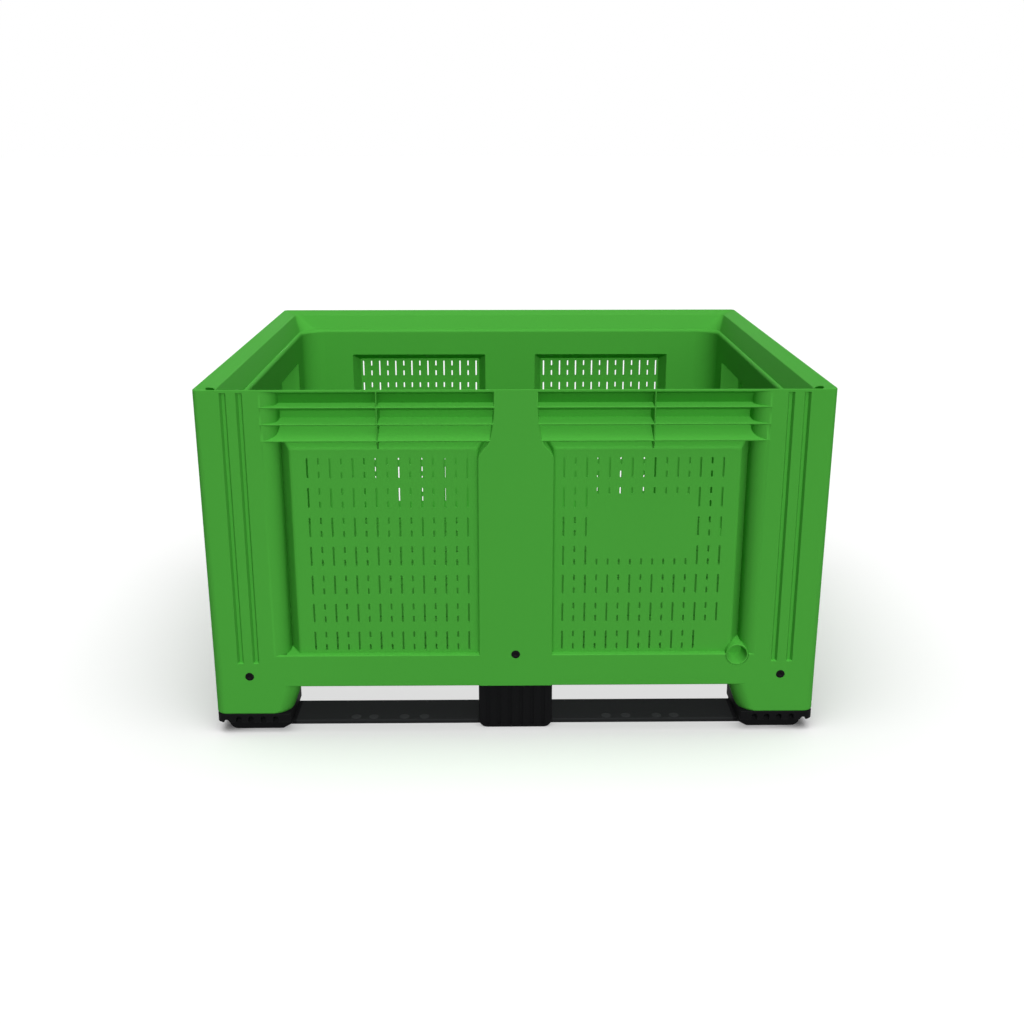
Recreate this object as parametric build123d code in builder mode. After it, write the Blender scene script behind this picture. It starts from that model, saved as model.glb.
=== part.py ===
"""Vented pallet box: a moulded harvest bin with slotted walls on three plug-in skids.

Millimetres, +Z up. The origin is on the ground under the middle of the box. X runs along the
long walls, and the long wall seen in the photo faces -Y. Left and right are as seen from there.
"""

import os
from math import floor

from build123d import *

# Overall size
box_length = 1300.0
box_width = 1150.0
box_height = 760.0

# Moulded skins
skin = 5.0
deck_skin = 6.0
corner_radius = 9.0
inner_corner_radius = 60.0

# Heights above the ground
leg_bottom = 45.0
rail_bottom = 110.0
deck_top = 160.0
rail_top = 182.0

# Stacking rim: widths inward from the outer face, drops down from the top
rim_lip = 5.0
land_width = 36.0
land_drop = 10.0
slope_width = 18.0
slope_drop = 38.0
ledge_width = 10.0
ledge_round = 8.0
rim_dimple_half = (10.5, 6.0)
rim_dimple_depth = 12.0
rim_dimple_from_corner = 34.0
rim_dimple_inset = 6.5

# Corner posts, the grooves in their faces and the legs under them
post_width = 164.5
post_edge_radius = 33.0
groove_width = 12.5
groove_depth = 4.0
groove_places = (61.0, 94.0)
groove_top_drop = 7.0
groove_bottom = 164.0
leg_width_bottom = 167.0
leg_width_top = 187.0
leg_edge_radius = 34.0
leg_corner_drops = ((0.0, 19.0), (3.0, 9.0), (8.0, 3.0), (17.0, 0.0))

# Columns in the middle of each wall
column_half = 78.0
column_wall = 12.0
column_neck_half = 45.0
neck_drop = 45.0
shoulder_half = 55.0
shoulder_drop = 106.0
flare_drop = 143.0

# Vent panels: trays pressed outward between the column and the post
panel_inset = 14.0
panel_drop = 124.0
column_step = 1.0
bevel = 18.0
top_bevel = 19.0
bevel_wall = 10.0
outer_bevel_wall = 30.5
top_bevel_wall = 14.0
valley_width = 4.0

# Ribs of the header band
rib_thickness = 3.5
rib_first_drop = 35.5
rib_pitch = 35.0
rib_droop = 22.0
gusset_thickness = 3.0

# Vent slots
slot_width = 3.8
slot_length = 43.5
short_slot_length = 15.0
slot_column_pitch = 23.5
slot_row_pitch = 63.9
slot_margin_inner = 10.0
slot_margin_outer = 4.0
slot_margin_top = 7.0
slot_margin_bottom = 5.0

# Bare label area and the slots left out at the drain, counted from the column and from the top
label_columns = range(3, 12)
label_rows = range(1, 4)
drain_blank_columns = 2

# Floor deck
deck_rib_thickness = 4.0
deck_cells_x = 10
deck_cells_y = 8
deck_slot_length = 70.0
deck_slot_width = 7.0
deck_slot_pitch = 45.0
deck_slots_per_cell = 2

# Drain boss
drain_from_corner = 174.0
drain_height = 179.5
drain_diameter = 50.0
drain_bore = 38.0
drain_length = 30.0
drain_bore_depth = 26.0

# Skids
skid_inset = 21.0
skid_width = 140.0
board_width = 100.0
board_thickness = 10.0
foot_from_corner = 23.0
foot_length = 141.0
foot_step = 25.0
foot_radius = 18.0
corner_block_reach = 156.5
middle_block_half = 80.0
flute_width = 9.0
flute_depth = 4.0
flute_pitch = 24.0
flute_margin = 6.0
block_flutes = 6
notch_width = 9.0
notch_height = 14.0
notch_pitch = 26.8
notch_from_corner = 75.0
notches = 5
tongue_clearance = 1.5
corner_tongue_top = 150.0
column_tongue_top = 205.0
column_tongue_half = 36.0
skid_wall = 8.0

# Lock pins
pin_diameter = 18.6
pin_clearance = 0.2
pin_length = 32.0
pin_from_corner = 78.0
corner_pin_height = 133.5
column_pin_height = 182.5
pin_dimple_diameter = 8.0
pin_dimple_depth = 2.0

# Sizes that follow from the ones above
half_length = box_length / 2
half_width = box_width / 2
toe_inset = land_width + slope_width
toe_depth = land_drop + slope_drop
toe_height = box_height - toe_depth
wall_inset = toe_inset + ledge_width
wall_back = wall_inset - skin
deck_bottom = deck_top - deck_skin
deck_cell_x = (box_length - 2 * wall_back - deck_rib_thickness) / deck_cells_x
deck_cell_y = (box_width - 2 * wall_back - deck_rib_thickness) / deck_cells_y
panel_back = panel_inset + skin
panel_top = box_height - panel_drop
window_top = panel_top - top_bevel_wall
window_from_middle = column_half + column_step + bevel_wall
bay_from_corner = post_width + valley_width + bevel
window_from_corner = bay_from_corner + outer_bevel_wall
pocket_reach = leg_width_top + tongue_clearance
pin_hole_radius = pin_diameter / 2 + pin_clearance
tongue_inset = skin + tongue_clearance
tongue_reach = leg_width_bottom - leg_corner_drops[0][1] - tongue_inset
skid_back = skid_inset + skid_width
front_skid_y = skid_inset + skid_width / 2 - half_width
skid_hollow = skid_width - 2 * skid_wall
block_hollow = 2 * middle_block_half - 2 * skid_wall
foot_hollow = foot_length - 2 * skid_wall
corner_hollow = tongue_reach - pin_length - 2 * skid_wall
corner_hollow_inset = (tongue_reach + pin_length) / 2

# Where the moulding is divided into its regions
column_split = window_from_middle + slot_margin_inner / 3
post_split = bay_from_corner + outer_bevel_wall / 2
header_split = window_top - slot_margin_top / 2
rim_split = toe_height - ledge_round - skin
mitre_depth = wall_inset + inner_corner_radius

# Slack for picking edges by their position
slack = 0.01

# Walls are numbered 0 front, 1 right, 2 rear, 3 left
LONG_WALLS = (0, 2)


def half_span(wall):
    """Half the length of a wall."""
    return half_width if wall % 2 else half_length


def face_distance(wall):
    """Distance of a wall's outer face from the middle of the box."""
    return half_length if wall % 2 else half_width


def wall_directions(wall):
    """Unit vectors along a wall and inward through it."""
    along = Vector(1, 0, 0).rotate(Axis.Z, 90 * wall)
    inward = Vector(0, 1, 0).rotate(Axis.Z, 90 * wall)
    return along, inward


def plan_plane(wall, height):
    """Level plane at a wall's outer face: x along the wall, y inward."""
    along, inward = wall_directions(wall)
    origin = inward * -face_distance(wall) + Vector(0, 0, height)
    return Plane(origin=origin, x_dir=along, z_dir=(0, 0, 1))


def section_plane(wall, place):
    """Upright plane across a wall: x inward, y up, facing along the wall."""
    along, inward = wall_directions(wall)
    origin = inward * -face_distance(wall) + along * place
    return Plane(origin=origin, x_dir=inward, z_dir=along)


def face_plane(wall, inset):
    """Upright plane in a wall at an inset: x along the wall, y up, facing outward."""
    along, inward = wall_directions(wall)
    origin = inward * (inset - face_distance(wall))
    return Plane(origin=origin, x_dir=along, z_dir=inward * -1)


def span_rectangle(x_one, x_two, y_low, y_high):
    """Rectangle between two places along x and two along y."""
    with Locations(((x_one + x_two) / 2, (y_low + y_high) / 2)):
        Rectangle(abs(x_two - x_one), y_high - y_low)


def block(plane, x_one, x_two, y_low, y_high, depth):
    """Plain block raised from a plane."""
    with BuildPart() as solid:
        with BuildSketch(plane):
            span_rectangle(x_one, x_two, y_low, y_high)
        extrude(amount=depth)
    return solid.part


def round_bar(wall, place, height, radius, length):
    """Round bar that runs inward through a wall from its outer face."""
    with BuildPart() as solid:
        with BuildSketch(face_plane(wall, 0)):
            with Locations((place, height)):
                Circle(radius)
        extrude(amount=-length)
    return solid.part


def hopper(levels):
    """Solid through level rectangles, each given as inset and depth below the rim's top."""
    with BuildPart() as solid:
        for inset, depth in levels:
            with BuildSketch(Plane.XY.offset(box_height - depth)):
                RectangleRounded(box_length - 2 * inset, box_width - 2 * inset, corner_radius)
        loft(ruled=True)
    return solid.part


def rounded_prism(inset, radius, bottom, top):
    """Upright prism with the plan of the box at an inset."""
    with BuildPart() as solid:
        with BuildSketch(Plane.XY.offset(bottom)):
            RectangleRounded(box_length - 2 * inset, box_width - 2 * inset, radius)
        extrude(amount=top - bottom)
    return solid.part


def corner_outline(reach, end_radius, shrink):
    """L-shaped plan of a post in the +X +Y corner, with its outer corners rounded."""
    corner_x = half_length - shrink
    corner_y = half_width - shrink
    end_x = half_length - reach
    end_y = half_width - reach
    back_x = half_length - wall_back
    back_y = half_width - wall_back
    Polygon(
        (corner_x, corner_y),
        (end_x, corner_y),
        (end_x, back_y),
        (back_x, back_y),
        (back_x, end_y),
        (corner_x, end_y),
    )
    free_ends = [vertices().sort_by_distance(end)[0] for end in ((end_x, corner_y), (corner_x, end_y))]
    fillet(free_ends, radius=end_radius)
    outer_corner = vertices().sort_by_distance((half_length, half_width))[0]
    fillet(outer_corner, radius=max(corner_radius - shrink, 1.0))


def post_prism(shrink):
    """Post of the +X +Y corner, or its hollow when shrunk by the skin."""
    with BuildPart() as solid:
        with BuildSketch(Plane.XY.offset(rail_bottom)):
            corner_outline(post_width - shrink, post_edge_radius - shrink, shrink)
        extrude(amount=box_height - rail_bottom)
    return solid.part


def leg_prism(shrink):
    """Flared leg under the +X +Y corner post, or its hollow when shrunk by the skin."""
    with BuildPart() as solid:
        levels = [(leg_bottom + rise, leg_width_bottom - step) for rise, step in leg_corner_drops]
        levels += [(rail_bottom, leg_width_top), (deck_top, leg_width_top)]
        for height, reach in levels:
            with BuildSketch(Plane.XY.offset(height)):
                corner_outline(reach - shrink, leg_edge_radius - shrink, shrink)
        loft(ruled=True)
    return solid.part


def column_prism(wall, shrink, side_shrink):
    """Column of a wall, flared under its neck, or its hollow when shrunk by its walls."""
    half = column_half - side_shrink
    neck = column_neck_half - side_shrink
    neck_height = box_height - neck_drop
    flare_height = box_height - flare_drop
    with BuildPart() as solid:
        with BuildSketch(face_plane(wall, shrink)):
            with BuildLine():
                Polyline((0, rail_bottom), (half, rail_bottom), (half, flare_height))
                Spline(
                    (half, flare_height),
                    (shoulder_half - side_shrink, box_height - shoulder_drop),
                    (neck, neck_height),
                    tangents=((-0.7, 0.7), (0, 1)),
                )
                Polyline((neck, neck_height), (neck, box_height), (0, box_height), (0, rail_bottom))
            make_face()
            mirror(about=Plane.YZ)
        extrude(amount=shrink - wall_back)
    return solid.part


def tray(wall, hand, back, front, inner, outer, bottom, top):
    """Tapered block of a bay from its back to its front inset, with bevelled top and sides."""
    with BuildPart() as solid:
        for inset, spread, rise in ((back, bevel, top_bevel), (front, 0, 0)):
            with BuildSketch(face_plane(wall, inset)):
                span_rectangle(hand * (inner - spread), hand * (outer + spread), bottom, top + rise)
        loft(ruled=True)
    return solid.part


def tray_shell(wall, hand):
    """Outer block of a vent panel's tray."""
    inner = window_from_middle - bevel_wall
    outer = half_span(wall) - bay_from_corner
    return tray(wall, hand, wall_back, panel_inset, inner, outer, deck_bottom, panel_top)


def tray_hollow(wall, hand):
    """Recess of a vent panel's tray, open to the inside of the box."""
    outer = half_span(wall) - window_from_corner
    return tray(wall, hand, wall_inset, panel_back, window_from_middle, outer, deck_top, window_top)


def header_ribs(wall):
    """Ribs of one wall: two level ones, a drooping one and an upright gusset in each bay."""
    reach = half_span(wall) - post_width + post_edge_radius
    lip = box_height - rib_first_drop - 2 * rib_pitch
    gusset_place = (column_half + half_span(wall) - post_width) / 2
    with BuildPart() as solid:
        with BuildSketch(section_plane(wall, -reach)):
            for number in range(2):
                top = box_height - rib_first_drop - number * rib_pitch
                span_rectangle(0, wall_back, top - rib_thickness, top)
            Polygon(
                (0, lip - rib_thickness),
                (wall_back, lip + rib_droop - rib_thickness),
                (wall_back, lip + rib_droop),
                (0, lip),
            )
        extrude(amount=2 * reach)
        for hand in (-1, 1):
            with BuildSketch(section_plane(wall, hand * gusset_place - gusset_thickness / 2)):
                Polygon(
                    (0, lip - rib_thickness),
                    (panel_inset, panel_top),
                    (wall_back, panel_top + top_bevel),
                    (wall_back, toe_height),
                    (land_width, box_height - land_drop),
                    (0, box_height - rim_lip / 2),
                )
            extrude(amount=gusset_thickness)
    return solid.part


def rail_ledge(wall, hand):
    """Top of the bottom rail in one bay, from its face back to the inner skin."""
    inner = column_half - skin
    outer = half_span(wall) - post_width + skin
    return block(plan_plane(wall, rail_top - skin), hand * inner, hand * outer, 0, wall_back, skin)


def deck_ribs():
    """Rib grid under the floor deck, free in the corners for the skids' end blocks."""
    length = box_length - 2 * wall_back
    width = box_width - 2 * wall_back
    with BuildPart() as solid:
        with BuildSketch(Plane.XY.offset(rail_bottom)):
            RectangleRounded(length, width, inner_corner_radius + skin)
            with GridLocations(deck_cell_x, deck_cell_y, deck_cells_x, deck_cells_y):
                Rectangle(
                    deck_cell_x - deck_rib_thickness, deck_cell_y - deck_rib_thickness, mode=Mode.SUBTRACT
                )
            with GridLocations(box_length, box_width, 2, 2):
                Rectangle(2 * pocket_reach, 2 * pocket_reach, mode=Mode.SUBTRACT)
        extrude(amount=deck_bottom - rail_bottom)
    return solid.part


def four_corners(solid):
    """A solid of the +X +Y corner and its three mirror images."""
    across = [solid, solid.mirror(Plane.YZ)]
    return across + [one.mirror(Plane.XZ) for one in across]


def slot_places(wall, hand, marked):
    """Middles of the long and the short slots of one vent panel, on its face plane.

    Every other column has long slots, and the columns between have pairs of short ones. A marked
    panel leaves its label area bare, and the outer end of its lowest row for the drain boss.
    """
    first = window_from_middle + slot_margin_inner
    last = half_span(wall) - window_from_corner - slot_margin_outer
    pairs = floor((last - first) / (2 * slot_column_pitch))
    top = window_top - slot_margin_top - slot_length / 2
    bottom = rail_top + slot_margin_bottom + slot_length / 2
    rows = floor((top - bottom) / slot_row_pitch) + 1
    columns = 2 * pairs + 1
    rise = (slot_length - short_slot_length) / 2
    long_places = []
    short_places = []
    for column in range(columns):
        x = hand * ((first + last) / 2 + (column - pairs) * slot_column_pitch)
        for row in range(rows):
            z = top - row * slot_row_pitch
            upper = (x, z + rise)
            lower = (x, z - rise)
            if marked and column in label_columns and row in label_rows:
                if row == label_rows[0]:
                    short_places.append(upper)
                if row == label_rows[-1]:
                    short_places.append(lower)
            elif marked and row == rows - 1 and column >= columns - drain_blank_columns:
                continue
            elif column % 2:
                short_places += [upper, lower]
            else:
                long_places.append((x, z))
    return long_places, short_places


def region(zone):
    """The part of the moulding inside a zone."""
    with BuildPart() as piece:
        add(zone)
        add(moulding.part, mode=Mode.INTERSECT)
    return piece.part


def save(part, name):
    """Label a finished piece, write it and print its solids and litres."""
    part.label = name
    export_step(part, "parts/" + name + ".step")
    print(name, len(part.solids()), round(part.volume / 1e6, 3))


def save_pair(part, name, turned_name):
    """Write a piece and the same piece of the opposite wall, turned half round."""
    save(part, name)
    save(part.rotate(Axis.Z, 180), turned_name)


os.makedirs("parts", exist_ok=True)

# Solids and hollows that the green moulding is made of
rim_outside = (
    (0, 0),
    (0, rim_lip),
    (land_width - skin, land_drop + skin),
    (toe_inset - skin, toe_depth + skin),
)
rim_inside = ((0, 0), (land_width, land_drop), (toe_inset, toe_depth))
bays = [(wall, hand) for wall in range(4) for hand in (-1, 1)]
outer_solids = four_corners(post_prism(0)) + four_corners(leg_prism(0))
outer_solids += [column_prism(wall, 0, 0) for wall in range(4)]
outer_solids += [header_ribs(wall) for wall in range(4)]
outer_solids += [tray_shell(wall, hand) for wall, hand in bays]
outer_solids += [rail_ledge(wall, hand) for wall, hand in bays]
tube_hollows = four_corners(post_prism(skin)) + four_corners(leg_prism(skin))
tube_hollows += [column_prism(wall, skin, column_wall) for wall in range(4)]
tray_hollows = [tray_hollow(wall, hand) for wall, hand in bays]
drain_place = half_length - drain_from_corner
drain_radius = drain_diameter / 2
drains = [round_bar(wall, drain_place, drain_height, drain_radius, drain_length) for wall in LONG_WALLS]
pin_holes = [round_bar(wall, 0, column_pin_height, pin_hole_radius, skin) for wall in range(4)]
for wall in LONG_WALLS:
    for hand in (-1, 1):
        pin_place = hand * (half_length - pin_from_corner)
        pin_holes.append(round_bar(wall, pin_place, corner_pin_height, pin_hole_radius, skin))

# The whole green moulding without its floor, which is divided into its regions further down
with BuildPart() as moulding:
    add(rounded_prism(wall_back, inner_corner_radius + skin, deck_bottom, toe_height))
    add(outer_solids)
    add(tube_hollows, mode=Mode.SUBTRACT)
    with BuildSketch(Plane.XY.offset(rail_bottom)):
        RectangleRounded(box_length, box_width, corner_radius)
        offset(amount=-skin, mode=Mode.SUBTRACT)
    extrude(amount=rail_top - rail_bottom)
    add(hopper(rim_outside))
    add(hopper(rim_inside), mode=Mode.SUBTRACT)
    add(rounded_prism(wall_inset, inner_corner_radius, deck_bottom, toe_height), mode=Mode.SUBTRACT)
    ledge_edges = (
        edges()
        .filter_by_position(Axis.Z, toe_height - slack, toe_height + slack)
        .filter_by_position(Axis.X, wall_inset - half_length - slack, half_length - wall_inset + slack)
        .filter_by_position(Axis.Y, wall_inset - half_width - slack, half_width - wall_inset + slack)
    )
    fillet(ledge_edges, radius=ledge_round)
    add(tray_hollows + pin_holes + drains, mode=Mode.SUBTRACT)
    for wall in range(4):
        with BuildSketch(face_plane(wall, 0)):
            for place in groove_places:
                near = half_span(wall) - place - groove_width / 2
                far = near + groove_width
                span_rectangle(near, far, groove_bottom, box_height - groove_top_drop)
                span_rectangle(-near, -far, groove_bottom, box_height - groove_top_drop)
        extrude(amount=-groove_depth, mode=Mode.SUBTRACT)
print("moulding", len(moulding.part.solids()), round(moulding.part.volume / 1e6, 3))

# Rim, header band, column, bottom rail and two vent panels of the front and the right wall,
# each with its turned copy in the opposite wall
for wall, name, turned_name in ((0, "front", "rear"), (1, "right", "left")):
    span = half_span(wall)
    bay_end = span - post_split
    with BuildPart() as rim_zone:
        with BuildSketch(plan_plane(wall, rim_split)):
            inner_end = span - mitre_depth
            Polygon((-span, 0), (span, 0), (inner_end, mitre_depth), (-inner_end, mitre_depth))
        extrude(amount=box_height - rim_split)
    rim = region(rim_zone.part)
    save(rim.rotate(Axis.Z, 180), "rim_" + turned_name)
    with BuildPart() as near_rim:
        add(rim)
        if wall == 0:
            with BuildSketch(plan_plane(wall, box_height)):
                with Locations((0, rim_dimple_inset)):
                    with GridLocations(2 * (span - rim_dimple_from_corner), 0, 2, 1):
                        Ellipse(*rim_dimple_half)
            extrude(amount=-rim_dimple_depth, mode=Mode.SUBTRACT)
    save(near_rim.part, "rim_" + name)
    header_base = plan_plane(wall, header_split)
    header_zone = block(header_base, -bay_end, bay_end, 0, wall_inset, rim_split - header_split)
    save_pair(region(header_zone), "header_" + name, "header_" + turned_name)
    wall_base = plan_plane(wall, rail_top)
    wall_height = header_split - rail_top
    column_zone = block(wall_base, -column_split, column_split, 0, wall_inset, wall_height)
    save_pair(region(column_zone), "column_" + name, "column_" + turned_name)
    rail_base = plan_plane(wall, rail_bottom)
    rail_zone = block(rail_base, -bay_end, bay_end, 0, wall_inset, rail_top - rail_bottom)
    save_pair(region(rail_zone), "bottom_rail_" + name, "bottom_rail_" + turned_name)
    for hand in (-1, 1):
        panel_zone = block(wall_base, hand * column_split, hand * bay_end, 0, wall_inset, wall_height)
        long_places, short_places = slot_places(wall, hand, marked=wall in LONG_WALLS and hand == 1)
        with BuildPart() as vent_panel:
            add(region(panel_zone))
            with BuildSketch(face_plane(wall, panel_inset)):
                with Locations(long_places):
                    Rectangle(slot_width, slot_length)
                with Locations(short_places):
                    Rectangle(slot_width, short_slot_length)
            extrude(amount=-skin, mode=Mode.SUBTRACT)
        ends = ("front", "rear") if wall % 2 else ("left", "right")
        if hand == 1:
            ends = ends[::-1]
        panel_name = "vent_panel_" + name + "_" + ends[0]
        save_pair(vent_panel.part, panel_name, "vent_panel_" + turned_name + "_" + ends[1])

# Corner posts with their legs
for x_sign, name, turned_name in ((-1, "front_left", "rear_right"), (1, "front_right", "rear_left")):
    corner_x = x_sign * half_length
    post_end = x_sign * (half_length - post_split)
    post_back = post_split - half_width
    post_base = Plane.XY.offset(leg_bottom)
    post_zone = block(post_base, corner_x, post_end, -half_width, post_back, rim_split - leg_bottom)
    save_pair(region(post_zone), "corner_post_" + name, "corner_post_" + turned_name)

# Floor deck with its vent slots over the rib grid
with BuildPart() as floor_deck:
    add(rounded_prism(wall_inset, inner_corner_radius, deck_bottom, deck_top))
    with BuildSketch(Plane.XY.offset(deck_top)):
        with GridLocations(deck_cell_x, deck_cell_y, deck_cells_x, deck_cells_y):
            with GridLocations(0, deck_slot_pitch, 1, deck_slots_per_cell):
                Rectangle(deck_slot_length, deck_slot_width)
    extrude(amount=-deck_skin, mode=Mode.SUBTRACT)
    add(deck_ribs())
save(floor_deck.part, "floor_deck")

# Drain bosses, one in each long wall, moulded shut
with BuildPart() as drain_boss:
    add(drains[0])
    add(round_bar(0, drain_place, drain_height, drain_bore / 2, drain_bore_depth), mode=Mode.SUBTRACT)
save_pair(drain_boss.part, "drain_boss_front", "drain_boss_rear")


def skid_block(middle_x, half, middle_y, top):
    """Block of a skid as wide as the skid, with its lower corners rounded."""
    with BuildPart() as solid:
        with BuildSketch(Plane.XZ.offset(skid_width / 2 - middle_y)):
            span_rectangle(middle_x - half, middle_x + half, 0, top)
            fillet(vertices().group_by(Axis.Y)[0], radius=foot_radius)
        extrude(amount=-skid_width)
    return solid.part


def board(middle_y, inset):
    """Board of a skid between the middles of its feet."""
    half = half_length - inset - foot_length / 2
    with BuildPart() as solid:
        with BuildSketch(Plane.XY):
            with Locations((0, middle_y)):
                Rectangle(2 * half, board_width)
        extrude(amount=board_thickness)
    return solid.part


def column_tongue(wall):
    """Tongue of a skid inside the hollow column of a wall."""
    back = wall_back - tongue_clearance
    height = column_tongue_top - rail_bottom
    base = plan_plane(wall, rail_bottom)
    return block(base, -column_tongue_half, column_tongue_half, tongue_inset, back, height)


def upright_cuts(inset, middle, pitch, count, width, bottom, top, depth):
    """Row of upright cuts into the front skid's outer side from an inset."""
    with BuildPart() as solid:
        with BuildSketch(face_plane(0, inset)):
            with Locations((middle, (bottom + top) / 2)):
                with GridLocations(pitch, 0, count, 1):
                    Rectangle(width, top - bottom)
        extrude(amount=-depth)
    return solid.part


def pockets(middle_x, middle_y, size_x, size_y, top):
    """Hollows in the underside of a skid's block, two by two with ribs between them."""
    with BuildPart() as solid:
        with BuildSketch(Plane.XY):
            with Locations((middle_x, middle_y)):
                with GridLocations((size_x + skid_wall) / 2, (size_y + skid_wall) / 2, 2, 2):
                    Rectangle((size_x - skid_wall) / 2, (size_y - skid_wall) / 2)
        extrude(amount=top)
    return solid.part


# Front and rear skid, with corner blocks inside the legs and a middle block under the column
with BuildPart() as outer_skid:
    add(board(front_skid_y, foot_from_corner))
    add(skid_block(0, middle_block_half, front_skid_y, rail_bottom))
    add(column_tongue(0))
    add(round_bar(0, 0, column_pin_height, pin_hole_radius, pin_length), mode=Mode.SUBTRACT)
    flute_top = rail_bottom - flute_margin
    add(
        upright_cuts(
            skid_inset, 0, flute_pitch, block_flutes, flute_width, flute_margin, flute_top, flute_depth
        ),
        mode=Mode.SUBTRACT,
    )
    add(pockets(0, front_skid_y, block_hollow, skid_hollow, rail_bottom - skid_wall), mode=Mode.SUBTRACT)
    for x_sign in (-1, 1):
        foot_x = x_sign * (half_length - foot_from_corner - foot_length / 2)
        add(skid_block(foot_x, foot_length / 2, front_skid_y, leg_bottom))
        with BuildSketch(Plane.XY.offset(foot_step)):
            foot_end = x_sign * (half_length - foot_from_corner - foot_length)
            span_rectangle(x_sign * half_length, foot_end, -half_width, skid_back - half_width)
            outer_corner = vertices().sort_by_distance((x_sign * half_length, -half_width))[0]
            fillet(outer_corner, radius=corner_radius)
        extrude(amount=leg_bottom - foot_step)
        with BuildSketch(Plane.XY.offset(leg_bottom)):
            tongue_start = x_sign * (half_length - tongue_inset)
            tongue_end = x_sign * (half_length - tongue_reach)
            span_rectangle(tongue_start, tongue_end, tongue_inset - half_width, tongue_reach - half_width)
            fillet(vertices(), radius=leg_edge_radius - tongue_inset)
        extrude(amount=corner_tongue_top - leg_bottom)
        with BuildSketch(Plane.XY):
            inner_start = x_sign * (half_length - wall_inset)
            inner_end = x_sign * (half_length - corner_block_reach)
            span_rectangle(inner_start, inner_end, wall_inset - half_width, skid_back - half_width)
        extrude(amount=rail_bottom)
        pin_place = x_sign * (half_length - pin_from_corner)
        add(round_bar(0, pin_place, corner_pin_height, pin_hole_radius, pin_length), mode=Mode.SUBTRACT)
        notch_x = x_sign * (half_length - notch_from_corner)
        notch_top = foot_step + notch_height
        add(
            upright_cuts(0, notch_x, notch_pitch, notches, notch_width, foot_step, notch_top, skid_inset),
            mode=Mode.SUBTRACT,
        )
        hollow_x = x_sign * (half_length - corner_hollow_inset)
        hollow_y = corner_hollow_inset - half_width
        hollow_top = corner_tongue_top - skid_wall
        add(pockets(hollow_x, hollow_y, corner_hollow, corner_hollow, hollow_top), mode=Mode.SUBTRACT)
save_pair(outer_skid.part, "skid_front", "skid_rear")

# Middle skid, with its end blocks under the columns of the short walls
with BuildPart() as skid_middle:
    add(board(0, skid_inset))
    add(skid_block(0, middle_block_half, 0, rail_bottom))
    add(pockets(0, 0, block_hollow, skid_hollow, rail_bottom - skid_wall), mode=Mode.SUBTRACT)
    for wall, x_sign in ((1, 1), (3, -1)):
        foot_x = x_sign * (half_length - skid_inset - foot_length / 2)
        add(skid_block(foot_x, foot_length / 2, 0, rail_bottom))
        add(column_tongue(wall))
        add(round_bar(wall, 0, column_pin_height, pin_hole_radius, pin_length), mode=Mode.SUBTRACT)
        add(pockets(foot_x, 0, foot_hollow, skid_hollow, rail_bottom - skid_wall), mode=Mode.SUBTRACT)
save(skid_middle.part, "skid_middle")

# Lock pins through the columns and, in the long walls, through the legs
pin_from_middle = half_length - pin_from_corner
for wall, place, height, name, turned_name in (
    (0, 0, column_pin_height, "pin_front_middle", "pin_rear_middle"),
    (0, -pin_from_middle, corner_pin_height, "pin_front_left", "pin_rear_right"),
    (0, pin_from_middle, corner_pin_height, "pin_front_right", "pin_rear_left"),
    (1, 0, column_pin_height, "pin_right_middle", "pin_left_middle"),
):
    with BuildPart() as pin:
        add(round_bar(wall, place, height, pin_diameter / 2, pin_length))
        add(round_bar(wall, place, height, pin_dimple_diameter / 2, pin_dimple_depth), mode=Mode.SUBTRACT)
    save_pair(pin.part, name, turned_name)
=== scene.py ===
# %% [markdown]
# # A vented pallet box
# This is a harvest bin: one large green plastic moulding with slotted walls, standing on three
# black skids that plug into it from below and are held by eight black lock pins. The measured
# CAD model is loaded first and gives the frame that everything has to stay inside.

# %% Load the measured frame
from math import cos, radians, sin, tan

import bmesh
import bpy
from mathutils import Euler, Matrix, Vector
from mathutils.geometry import interpolate_bezier


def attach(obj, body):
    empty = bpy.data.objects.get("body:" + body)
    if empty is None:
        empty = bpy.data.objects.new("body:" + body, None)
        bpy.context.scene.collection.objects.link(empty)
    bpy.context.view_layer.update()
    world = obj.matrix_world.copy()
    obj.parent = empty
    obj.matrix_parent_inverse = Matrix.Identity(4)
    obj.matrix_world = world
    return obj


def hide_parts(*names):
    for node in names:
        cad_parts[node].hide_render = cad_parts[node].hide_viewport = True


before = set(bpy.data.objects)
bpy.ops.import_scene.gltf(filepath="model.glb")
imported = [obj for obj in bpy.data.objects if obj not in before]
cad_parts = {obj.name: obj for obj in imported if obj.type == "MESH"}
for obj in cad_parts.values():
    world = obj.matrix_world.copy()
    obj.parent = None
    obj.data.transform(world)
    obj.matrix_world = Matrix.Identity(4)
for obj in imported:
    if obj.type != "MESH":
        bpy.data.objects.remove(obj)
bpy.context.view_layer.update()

# %% [markdown]
# ## Camera
# The view is almost square to a long wall and looks down about 17 degrees, so that the rear
# wall's inner side shows above the front rim. A lens of 43 mm gives the same slight
# convergence of the corner posts.

# %% Camera
CAMERA_PLACE = (-0.0387, -3.0159, 1.2574)
CAMERA_PITCH = 17.185
CAMERA_YAW = 0.723
LENS_LENGTH = 43.457
SENSOR_WIDTH = 36

lens = bpy.data.cameras.new("camera")
lens.lens = LENS_LENGTH
lens.sensor_width = SENSOR_WIDTH
camera = bpy.data.objects.new("camera", lens)
camera.location = CAMERA_PLACE
camera.rotation_euler = Euler((radians(90 - CAMERA_PITCH), 0, radians(-CAMERA_YAW)))
bpy.context.collection.objects.link(camera)
bpy.context.scene.camera = camera
bpy.context.scene.view_settings.view_transform = "Standard"
print("camera at", CAMERA_PLACE)

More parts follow.
